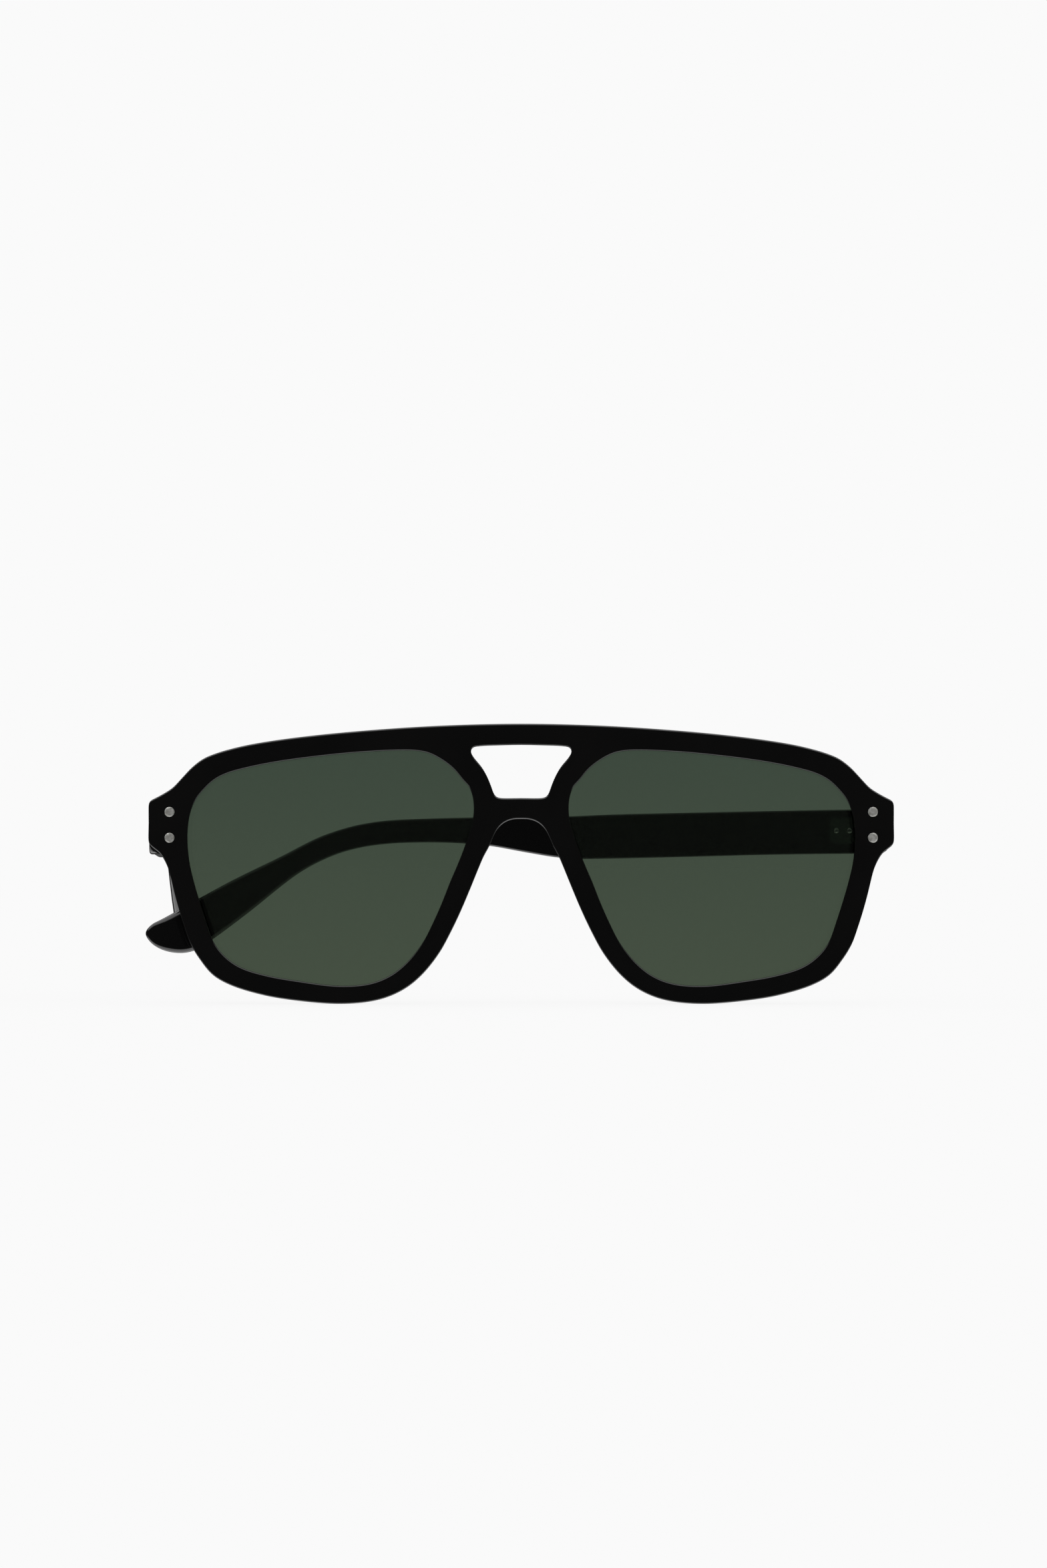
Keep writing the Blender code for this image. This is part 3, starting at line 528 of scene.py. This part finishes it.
def hinge_recess(side):
    bm = bmesh.new()
    floor = END_PIECE_BACK - FRONT_PLATE_SUNK - PLATE_THICKNESS
    near, far = sorted(side * x for x in (FRONT_PLATE_X[0] - FIT, FRONT_PLATE_X[1] + FIT))
    bottom, top = FRONT_PLATE_Z[0] - FIT, FRONT_PLATE_Z[1] + FIT
    add_box(bm, (near, floor, bottom), (far, END_PIECE_BACK + CUT_PAST, top))
    return new_object("cut", bm, FRONT_PLACE)


def mitre_y(x):
    """Y of the end piece's mitred face at X."""
    return END_PIECE_BACK - (x - MITRE_START) * MITRE_SLOPE


def mitre(side):
    """Cuts everything behind the mitred face away, from inside the seat to beyond the end piece."""
    bm = bmesh.new()
    corners = [(68.6, mitre_y(68.6)), (76.0, mitre_y(76.0)), (78.0, 12.0), (70.0, 16.0)]
    base, top = ([(side * x, y, z) for x, y in corners] for z in MITRE_HEIGHTS)
    add_prism(bm, base, top)
    return new_object("cut", bm, FRONT_PLACE)


def front_rivet_holes(side):
    bm = bmesh.new()
    radius = FRONT_RIVET_RADIUS + FIT
    seam = radius + SEAM_WIDTH
    floor = FRONT_RIVET_LENGTH + FIT
    for z in FRONT_RIVET_Z.values():
        profile = [(seam, -CUT_PAST), (seam, SEAM_START), (radius, SEAM_END), (radius, floor)]
        add_turned(bm, profile, (side * FRONT_RIVET_X, front_y(FRONT_RIVET_X), z), "Y")
    return new_object("cut", bm, FRONT_PLACE)


def front_rivet(side, level, finish):
    """A pin whose slightly domed head has a turned rim."""
    bm = bmesh.new()
    r = FRONT_RIVET_RADIUS
    dome = [(0, -0.05), (0.3 * r, -0.045), (0.6 * r, -0.03), (0.82 * r, -0.005)]
    rim = [(0.86 * r, 0.03), (0.9 * r, 0.03), (0.93 * r, 0.0), (0.97 * r, 0.01), (r, 0.05)]
    profile = [*dome, *rim, (r, FRONT_RIVET_LENGTH), (0, FRONT_RIVET_LENGTH)]
    add_dish(bm, profile, (side * FRONT_RIVET_X, front_y(FRONT_RIVET_X), FRONT_RIVET_Z[level]), "Y")
    name = f"front_rivet_{level}_{SIDE_NAMES[side]}"
    rivet = new_object(name.replace("front_rivet", "rivet"), bm, FRONT_PLACE, finish)
    finish_piece(rivet, "front", "steel", name)


def lens(side, finish):
    """A curved lens: rings that shrink towards its centre while the surface moves forward."""
    bm = bmesh.new()
    edge = offset(closed_loop(LENS_OPENING), LENS_LAP)
    centre = Vector(LENS_CENTRE)
    surfaces = []
    for depth in (GROOVE_START + GAP, GROOVE_START + GAP + LENS_THICKNESS):
        rings = []
        for step in range(LENS_RINGS + 1):
            share = 1 - step / LENS_RINGS
            shape = [centre + (p - centre) * share for p in edge] if share else [centre]
            forward = LENS_BULGE * (1 - share * share)
            rings.append(add_ring(bm, [(side * p.x, front_y(p.x) + depth - forward, p.y) for p in shape]))
        add_wall(bm, rings[:-1])
        for i, v in enumerate(rings[-2]):
            bm.faces.new((v, rings[-2][(i + 1) % len(edge)], rings[-1][0]))
        surfaces.append(rings)
    add_wall(bm, [surfaces[0][0], surfaces[1][0]])
    name = f"lens_{SIDE_NAMES[side]}"
    finish_piece(new_object(f"tinted_{name}", bm, FRONT_PLACE, finish), "front", "green_lens", name)


def nose_pad(side, finish):
    """A ridge behind the nasal side of the rim, following its edge and rounded over towards the back."""
    bm = bmesh.new()
    nasal = [p for p in symmetric_loop(FRONT_OUTLINE) if 0 < p.x < 20 and p.y < 33]
    nasal.sort(key=lambda p: p.y)
    slope = Vector((edge_x(nasal, PAD_HIGH) - edge_x(nasal, PAD_LOW), PAD_HIGH - PAD_LOW)).normalized()
    across = Vector((slope.y, -slope.x))
    rings, flats = [], []
    profile = [(0, -GAP), (0, PAD_WALL * PAD_HEIGHT)]
    for i in range(1, PAD_STEPS + 1):
        angle = math.radians(PAD_ROUND_DEGREES * i / PAD_STEPS)
        height = PAD_HEIGHT * (PAD_WALL + (1 - PAD_WALL) * math.sin(angle))
        profile.append((PAD_ROUND * (1 - math.cos(angle)), height))
    for inset, height in profile:
        near, far = [], []
        low, high = PAD_LOW + 2 * inset, PAD_HIGH - 2 * inset
        for i in range(PAD_FINE_STEPS + 1):
            share = i / PAD_FINE_STEPS
            z = low + (high - low) * share
            middle = Vector((edge_x(nasal, z), z)) + across * (PAD_SET_IN + PAD_WIDTH / 2)
            half = (PAD_WIDTH / 2 - inset) * math.sqrt(1 - (2 * share - 1) ** 4)
            near.append(middle - across * half)
            far.append(middle + across * half)
        flats.append([*near, *far[-2:0:-1]])
        rings.append(add_ring(bm, [(side * p.x, back_y(p.x, p.y) + GAP + height, p.y) for p in flats[-1]]))
    add_wall(bm, rings)
    for ring, flat in ((rings[0], flats[0]), (rings[-1], flats[-1])):
        add_cap(bm, ring, [], flat, [])
    name = f"nose_pad_{SIDE_NAMES[side]}"
    finish_piece(new_object(f"bonded_{name}", bm, FRONT_PLACE, finish), "front", "black_acetate", name)


def edge_x(line, z):
    """X of the line, whose points rise in Z, at height z."""
    for low, high in zip(line, line[1:]):
        if low.y <= z <= high.y:
            return low.x + (high.x - low.x) * (z - low.y) / (high.y - low.y)
    return line[-1].x


def barrel_levels(first):
    """(bottom, top) of every second barrel, from number `first`."""
    pitch = BARREL_HEIGHT + GAP
    bottoms = [BARREL_LOW + i * pitch for i in range(first, BARRELS, 2)]
    return [(bottom, bottom + BARREL_HEIGHT) for bottom in bottoms]


def hinge_leaf(name, plate, first_barrel, web, place, finish):
    """A plate joined to its barrels by webs, with one bore through them. `web` gives a web's two corners."""
    leaf = new_object(name, plate, place, finish)
    grow = (GAP - BARREL_PLAY) / 2
    shoulder = BARREL_RADIUS - BARREL_CHAMFER
    for bottom, top in barrel_levels(first_barrel):
        bottom, top = bottom - grow, top + grow
        bm = bmesh.new()
        profile = [(shoulder, bottom), (BARREL_RADIUS, bottom + BARREL_CHAMFER)]
        profile += [(BARREL_RADIUS, top - BARREL_CHAMFER), (shoulder, top)]
        add_turned(bm, profile, (0, 0, 0))
        combine(leaf, new_object("join", bm, place), "UNION")
        bm = bmesh.new()
        add_box(bm, (*web[0], bottom + WEB_SET_IN), (*web[1], top - WEB_SET_IN))
        combine(leaf, new_object("join", bm, place), "UNION")
    bm = bmesh.new()
    ends = (BARREL_LOW - CUT_PAST, barrel_levels(0)[-1][1] + CUT_PAST)
    add_turned(bm, [(BORE_RADIUS, end) for end in ends], (0, 0, 0))
    combine(leaf, new_object("cut", bm, place))
    return leaf


def front_hinge(side, finish):
    bm = bmesh.new()
    near, far = sorted(side * (x - HINGE_X) for x in FRONT_PLATE_X)
    face = END_PIECE_BACK - FRONT_PLATE_SUNK - HINGE_Y
    add_box(bm, (near, face - PLATE_THICKNESS, FRONT_PLATE_Z[0]), (far, face, FRONT_PLATE_Z[1]))
    bmesh.ops.bevel(bm, geom=bm.edges[:], offset=FRONT_PLATE_ROUND * MM, segments=2, affect="EDGES")
    web = ((-WEB_HALF_WIDTH, face - WEB_SUNK), (WEB_HALF_WIDTH, -WEB_START))
    name = f"front_hinge_{SIDE_NAMES[side]}"
    leaf = hinge_leaf(f"{name}_leaf", bm, 0, web, hinge_place(side), finish)
    finish_piece(leaf, "front", "steel", name)


def hinge_screw(side, finish):
    bm = bmesh.new()
    top = barrel_levels(0)[-1][1] + GAP
    face = top + SCREW_HEAD_HEIGHT
    end, seat = BARREL_LOW - GAP, top - SCREW_HEAD_SUNK
    shank, r = BORE_RADIUS - FIT, SCREW_HEAD_RADIUS
    profile = [(0, end), (shank, end), (shank, seat), (r, seat), (r, face - 0.3)]
    profile += [(0.93 * r, face - 0.14), (0.75 * r, face - 0.04), (0.5 * r, face), (0, face)]
    add_dish(bm, profile, (0, 0, 0), "Z")
    screw = new_object(f"slotted_screw_{SIDE_NAMES[side]}", bm, hinge_place(side), finish)
    bm = bmesh.new()
    half, reach = SCREW_SLOT_WIDTH / 2, 2 * SCREW_HEAD_RADIUS
    add_box(bm, (-reach, -half, face - SCREW_SLOT_DEPTH), (reach, half, face + CUT_PAST))
    combine(screw, new_object("cut", bm, hinge_place(side)))
    finish_piece(screw, "front", "steel", f"hinge_screw_{SIDE_NAMES[side]}")


def tip_bend(along):
    """How far the arm has turned in towards the head."""
    return TIP_BEND * (max(along - TIP_BEND_START, 0.0) / TIP_BEND_LENGTH) ** 2


def arm_round(along):
    """The arm's edge radius, which grows towards the tip and tightens round its very end."""
    tip = (TIP_ROUND - TEMPLE_ROUND) * fade(along, TIP_ROUND_START, TIP_ROUND_FULL)
    end = (TIP_ROUND - END_ROUND) * fade(along, END_ROUND_START, END_ROUND_FULL)
    return TEMPLE_ROUND + tip - end


def temple(side, finish):
    """The arm: its side view given a thickness, with a mitred end, a hinge recess and its holes."""
    bm = bmesh.new()
    loop = closed_loop(TEMPLE_OUTLINE)
    radii = [arm_round(p.x) for p in loop]
    rings, flats = [], []
    for face, inward in ((TEMPLE_INNER, 1), (TEMPLE_OUTER, -1)):
        steps = [(1 + FLAT_STRIP, 0), *rounding(1.0)]
        for inset, depth in steps if inward > 0 else reversed(steps):
            flats.append(offset_each(loop, [-inset * r for r in radii]))
            places = zip(flats[-1], radii)
            ring = [(side * (face + inward * depth * r - tip_bend(p.x)), p.x, p.y) for p, r in places]
            rings.append(add_ring(bm, ring))
    add_wall(bm, rings)
    for ring, flat in ((rings[0], flats[0]), (rings[-1], flats[-1])):
        add_cap(bm, ring, [], flat, [])
    name = f"temple_{SIDE_NAMES[side]}"
    place = temple_place(side)
    arm = new_object(f"arm_{SIDE_NAMES[side]}", bm, place, finish)
    for cutter in (temple_mitre, temple_recess, temple_rivet_holes, core_wire_channel):
        combine(arm, cutter(side))
    finish_piece(arm, name, "black_acetate", name)


def temple_mitre(side):
    """Cuts the arm's end parallel to the end piece's mitre, one gap behind it."""
    bm = bmesh.new()
    gap = GAP * math.hypot(1, MITRE_SLOPE)
    outside, in_front = 8.0, -14.0
    corners = [(x, mitre_y(HINGE_X + x) + gap - HINGE_Y) for x in (0.0, outside)]
    corners += [(outside, in_front), (0.0, in_front)]
    base, top = ([(side * x, y, z) for x, y in corners] for z in MITRE_HEIGHTS)
    add_prism(bm, base, top)
    return new_object("cut", bm, temple_place(side))


def rounded_rectangle(low, high, radius, steps=10):
    """A rectangle whose two corners at the high first coordinate are rounded."""
    points = [(low[0], low[1]), (high[0] - radius, low[1])]
    for centre_z, start in ((low[1] + radius, -90), (high[1] - radius, 0)):
        for i in range(1 if start else 0, steps + 1):
            angle = math.radians(start + 90 * i / steps)
            points.append((high[0] - radius + radius * math.cos(angle), centre_z + radius * math.sin(angle)))
    return [*points, (low[0], high[1])]


def temple_plate(bm, side, near, far, spread):
    """The plate's shape between X = near and X = far, made larger all round by `spread`."""
    low = (TEMPLE_PLATE_Y[0] - spread, TEMPLE_PLATE_Z[0] - spread)
    high = (TEMPLE_PLATE_Y[1] + spread, TEMPLE_PLATE_Z[1] + spread)
    outline = rounded_rectangle(low, high, PLATE_CORNER + spread)
    add_prism(bm, *([(side * x, y, z) for y, z in outline] for x in (near, far)))


def temple_recess(side):
    bm = bmesh.new()
    floor = TEMPLE_INNER - TEMPLE_PLATE_PROUD + PLATE_THICKNESS
    temple_plate(bm, side, TEMPLE_INNER - CUT_PAST, floor, FIT)
    return new_object("cut", bm, temple_place(side))


def temple_rivet_holes(side):
    bm = bmesh.new()
    radius = TEMPLE_RIVET_RADIUS + FIT
    for along in TEMPLE_RIVET_ALONG.values():
        profile = [(radius, 0), (radius, side * (TEMPLE_RIVET_END + GAP))]
        add_turned(bm, profile, (0, along, TEMPLE_RIVET_Z), "X")
    return new_object("cut", bm, temple_place(side))


def temple_rivet(side, level, finish):
    """A pin whose head is a rounded rim round a shallow dish."""
    bm = bmesh.new()
    start = TEMPLE_INNER - TEMPLE_PLATE_PROUD - TEMPLE_RIVET_PROUD
    r = TEMPLE_RIVET_RADIUS
    dish = [(0, 0.22), (0.25 * r, 0.21), (0.5 * r, 0.15), (0.7 * r, 0.04)]
    rim = [(0.8 * r, 0), (0.92 * r, 0.03), (r, 0.11)]
    profile = [(radius, side * (start + depth)) for radius, depth in dish + rim]
    profile += [(r, side * TEMPLE_RIVET_END), (0, side * TEMPLE_RIVET_END)]
    add_dish(bm, profile, (0, TEMPLE_RIVET_ALONG[level], TEMPLE_RIVET_Z), "X")
    name = f"temple_rivet_{level}_{SIDE_NAMES[side]}"
    rivet = new_object(name.replace("temple_rivet", "plate_rivet"), bm, temple_place(side), finish)
    finish_piece(rivet, f"temple_{SIDE_NAMES[side]}", "steel", name)


def temple_hinge(side, finish):
    bm = bmesh.new()
    face = TEMPLE_INNER - TEMPLE_PLATE_PROUD
    temple_plate(bm, side, face, face + PLATE_THICKNESS, 0)
    bmesh.ops.recalc_face_normals(bm, faces=bm.faces)
    rim = [edge for edge in bm.edges if all(abs(v.co.x - side * face * MM) < 1e-7 for v in edge.verts)]
    bmesh.ops.bevel(bm, geom=rim, offset=TEMPLE_PLATE_ROUND * MM, segments=4, affect="EDGES")
    near, far = sorted((side * WEB_START, side * (face + WEB_SUNK)))
    web = ((near, TEMPLE_WEB_SET_IN - WEB_HALF_WIDTH), (far, WEB_HALF_WIDTH))
    name = f"temple_hinge_{SIDE_NAMES[side]}"
    leaf = hinge_leaf(f"{name}_leaf", bm, 1, web, temple_place(side), finish)
    combine(leaf, temple_rivet_holes(side))
    finish_piece(leaf, f"temple_{SIDE_NAMES[side]}", "steel", name)


def core_wire_channel(side):
    """A tube along the middle of the arm that the core wire lies in."""
    (first_y, first_z), *middle, (last_y, last_z) = CORE_WIRE_PATH
    path = [(first_y - GAP, first_z), *middle, (last_y + GAP, last_z)]
    before = (2 * path[0][0] - path[1][0], path[0][1])
    after = (2 * path[-1][0] - path[-2][0], 2 * path[-1][1] - path[-2][1])
    line = thin_out(curve_through(path, before, after, 1.0))
    bm = bmesh.new()
    rings = []
    radius = CORE_WIRE_RADIUS + GAP
    for i, here in enumerate(line):
        along = (line[min(i + 1, len(line) - 1)] - line[max(i - 1, 0)]).normalized()
        across = Vector((-along.y, along.x))
        ring = []
        for k in range(CORE_WIRE_SIDES):
            angle = 2 * math.pi * k / CORE_WIRE_SIDES
            flat = here + across * radius * math.sin(angle)
            ring.append((side * (CORE_WIRE_X - tip_bend(here.x) + radius * math.cos(angle)), flat.x, flat.y))
        rings.append(add_ring(bm, ring))
    add_wall(bm, rings)
    bm.faces.new(rings[0])
    bm.faces.new(rings[-1])
    return new_object("cut", bm, temple_place(side))


class Nodes:
    """A material's node tree, with short calls to add and join nodes."""

    def __init__(self, tree):
        self.tree = tree

    def add(self, kind, **settings):
        node = self.tree.nodes.new(kind)
        inputs = settings.pop("inputs", {})
        for name, value in settings.items():
            setattr(node, name, value)
        for name, value in inputs.items():
            if isinstance(value, bpy.types.NodeSocket):
                self.tree.links.new(value, node.inputs[name])
            else:
                node.inputs[name].default_value = value
        return node

    def calculate(self, operation, first, second):
        return self.add("ShaderNodeMath", operation=operation, inputs={0: first, 1: second}).outputs[0]


def new_material(name, base, roughness, metallic=0.0):
    made = bpy.data.materials.new(name)
    made.use_nodes = True
    shader = made.node_tree.nodes["Principled BSDF"]
    shader.inputs["Base Color"].default_value = (*base, 1)
    shader.inputs["Roughness"].default_value = roughness
    shader.inputs["Metallic"].default_value = metallic
    return made, Nodes(made.node_tree), shader


def noise(nodes, place, scale, detail=3.0):
    inputs = {"Vector": place, "Scale": scale, "Detail": detail}
    return nodes.add("ShaderNodeTexNoise", inputs=inputs).outputs["Fac"]


def ramp(nodes, value, low, high):
    """The value from 0.35 to 0.65, where noise mostly lies, spread between two colours or numbers."""
    kind = "FLOAT" if isinstance(low, float) else "RGBA"
    mix = nodes.add("ShaderNodeMix", data_type=kind)
    spread = nodes.add("ShaderNodeMapRange", inputs={"Value": value, "From Min": 0.35, "From Max": 0.65})
    nodes.tree.links.new(spread.outputs["Result"], mix.inputs["Factor"])
    first = 2 if kind == "FLOAT" else 6
    mix.inputs[first].default_value = low
    mix.inputs[first + 1].default_value = high
    return mix.outputs[0 if kind == "FLOAT" else 2]


def bump(nodes, shader, height, distance, strength):
    node = nodes.add("ShaderNodeBump", inputs={"Height": height, "Distance": distance, "Strength": strength})
    nodes.tree.links.new(node.outputs["Normal"], shader.inputs["Normal"])


def black_acetate():
    """Tumbled and polished acetate: nearly black, with a faint waviness and a trace of uneven polish."""
    made, nodes, shader = new_material("black_acetate_polished", (0.004, 0.004, 0.004), 0.06)
    place = nodes.add("ShaderNodeTexCoord").outputs["Object"]
    colour = ramp(nodes, noise(nodes, place, 60.0), *ACETATE_COLOURS)
    nodes.tree.links.new(colour, shader.inputs["Base Color"])
    polish = ramp(nodes, noise(nodes, place, 350.0, 5.0), 0.03, 0.06)
    nodes.tree.links.new(polish, shader.inputs["Roughness"])
    bump(nodes, shader, noise(nodes, place, 180.0, 2.0), 0.00004, 0.15)
    shader.inputs["IOR"].default_value = 1.48
    return made


def green_lens():
    """Solid-tinted green-grey lens, a little lighter towards the bottom."""
    made, nodes, shader = new_material("green_lens_tint", (0.235, 0.265, 0.22), 0.0)
    place = nodes.add("ShaderNodeTexCoord").outputs["Object"]
    height = nodes.add("ShaderNodeSeparateXYZ", inputs={"Vector": place}).outputs["Z"]
    limits = {"Value": height, "From Min": LENS_LOW, "From Max": LENS_HIGH}
    share = nodes.add("ShaderNodeMapRange", inputs=limits).outputs["Result"]
    mix = nodes.add("ShaderNodeMix", data_type="RGBA", inputs={"Factor": share})
    mix.inputs[6].default_value, mix.inputs[7].default_value = LENS_COLOURS
    nodes.tree.links.new(mix.outputs[2], shader.inputs["Base Color"])
    shader.inputs["Transmission Weight"].default_value = 1.0
    shader.inputs["IOR"].default_value = 1.5
    return made


def polished_steel():
    """Hinge metal with fine drawn lines and slightly uneven polish."""
    made, nodes, shader = new_material("steel_polished", (0.62, 0.62, 0.63), 0.13, 1.0)
    place = nodes.add("ShaderNodeTexCoord").outputs["Object"]
    drawn = nodes.add("ShaderNodeMapping", inputs={"Vector": place, "Scale": (1.0, 1.0, 12.0)})
    lines = noise(nodes, drawn.outputs["Vector"], 900.0, 4.0)
    nodes.tree.links.new(ramp(nodes, lines, 0.09, 0.18), shader.inputs["Roughness"])
    colour = ramp(nodes, noise(nodes, place, 500.0), *STEEL_COLOURS)
    nodes.tree.links.new(colour, shader.inputs["Base Color"])
    bump(nodes, shader, lines, 0.00001, 0.3)
    return made


def rivet_metal():
    """Satin nickel of the decorative rivets."""
    made, nodes, shader = new_material("rivet_satin_nickel", (0.8, 0.8, 0.78), 0.37, 0.85)
    place = nodes.add("ShaderNodeTexCoord").outputs["Object"]
    grain = noise(nodes, place, 2500.0, 4.0)
    nodes.tree.links.new(ramp(nodes, grain, 0.31, 0.43), shader.inputs["Roughness"])
    nodes.tree.links.new(ramp(nodes, grain, *NICKEL_COLOURS), shader.inputs["Base Color"])
    bump(nodes, shader, grain, 0.00002, 0.3)
    return made


def camera():
    """Straight in front, far away, with the aim point where the picture's middle is."""
    data = bpy.data.cameras.new("camera")
    data.sensor_fit = "HORIZONTAL"
    data.sensor_width = SENSOR_WIDTH
    data.lens = data.sensor_width * CAMERA_DISTANCE / CAMERA_WIDTH
    data.clip_start, data.clip_end = 0.05, 50.0
    made = bpy.data.objects.new("camera", data)
    made.location = (CAMERA_AIM_X, front_low.y - CAMERA_DISTANCE, CAMERA_AIM_Z)
    made.rotation_euler = (math.radians(90), 0, 0)
    bpy.context.scene.collection.objects.link(made)
    bpy.context.scene.camera = made


def floor():
    """A white light table: it glows almost as bright as the backdrop, and takes a faint contact shadow."""
    bm = bmesh.new()
    half = FLOOR_SIZE / 2
    corners = ((-half, -half, 0), (half, -half, 0), (half, half, 0), (-half, half, 0))
    bm.faces.new([bm.verts.new(corner) for corner in corners])
    mesh = bpy.data.meshes.new("floor")
    bm.to_mesh(mesh)
    bm.free()
    made, _, shader = new_material("light_table", (FLOOR_DIFFUSE,) * 3, 1.0)
    shader.inputs["Specular IOR Level"].default_value = 0.0
    shader.inputs["Emission Color"].default_value = (1, 1, 1, 1)
    shader.inputs["Emission Strength"].default_value = FLOOR_GLOW
    mesh.materials.append(made)
    obj = bpy.data.objects.new("floor", mesh)
    obj.visible_glossy = False
    bpy.context.scene.collection.objects.link(obj)


def studio():
    """A white backdrop for what is seen directly or through the lenses. Glossy surfaces reflect a dark studio
    with a lit table below and a light overhead, and matt ones get an even light."""
    world = bpy.data.worlds.new("studio")
    bpy.context.scene.world = world
    world.use_nodes = True
    world.cycles.sampling_method = "NONE"
    nodes = Nodes(world.node_tree)
    direction = nodes.add("ShaderNodeTexCoord").outputs["Generated"]
    parts = nodes.add("ShaderNodeSeparateXYZ", inputs={"Vector": direction}).outputs
    dark = blend_level(nodes, parts["Y"], (-1.0, 1.0), STUDIO_DARK, STUDIO_BEHIND)
    near = nodes.calculate("MULTIPLY", parts["Y"], TABLE_NEAR_LEAN)
    far = nodes.calculate("MULTIPLY", parts["Y"], TABLE_FAR_LEAN)
    table = nodes.calculate("ADD", parts["Z"], nodes.calculate("MAXIMUM", near, far))
    level = blend_level(nodes, table, TABLE_EDGE, dark, TABLE_LIGHT)
    level = blend_level(nodes, parts["Z"], OVERHEAD_EDGE, level, OVERHEAD_LIGHT)
    level = blend_level(nodes, parts["Y"], LIGHTS_END, dark, level)
    path = nodes.add("ShaderNodeLightPath").outputs
    level = blend_level(nodes, path["Is Diffuse Ray"], (0.0, 1.0), level, SOFT_LIGHT)
    level = blend_level(nodes, path["Is Camera Ray"], (0.0, 1.0), level, BACKDROP)
    level = blend_level(nodes, path["Is Transmission Ray"], (0.0, 1.0), level, BACKDROP)
    nodes.tree.links.new(level, world.node_tree.nodes["Background"].inputs["Color"])


def blend_level(nodes, value, edges, low, high):
    """The level `low` where the value is at the first edge, changing smoothly to `high` at the second."""
    share = nodes.add("ShaderNodeMapRange", interpolation_type="SMOOTHSTEP", inputs={"Value": value})
    share.inputs["From Min"].default_value, share.inputs["From Max"].default_value = edges
    mix = nodes.add("ShaderNodeMix", data_type="FLOAT", inputs={"Factor": share.outputs["Result"]})
    for socket, level in ((mix.inputs[2], low), (mix.inputs[3], high)):
        if isinstance(level, float):
            socket.default_value = level
        else:
            nodes.tree.links.new(level, socket)
    return mix.outputs[0]


def main():
    bpy.context.scene.view_settings.view_transform = "Standard"
    camera()
    floor()
    studio()
    acetate, tint, steel, nickel = black_acetate(), green_lens(), polished_steel(), rivet_metal()
    front_frame(acetate)
    for side in (RIGHT, LEFT):
        lens(side, tint)
        nose_pad(side, acetate)
        front_hinge(side, steel)
        hinge_screw(side, steel)
        for level in FRONT_RIVET_Z:
            front_rivet(side, level, nickel)
        temple(side, acetate)
        temple_hinge(side, steel)
        for level in TEMPLE_RIVET_ALONG:
            temple_rivet(side, level, nickel)
        wire = frame["nodes"][f"core_wire_{SIDE_NAMES[side]}"]
        wire.data.materials.clear()
        wire.data.materials.append(steel)


main()
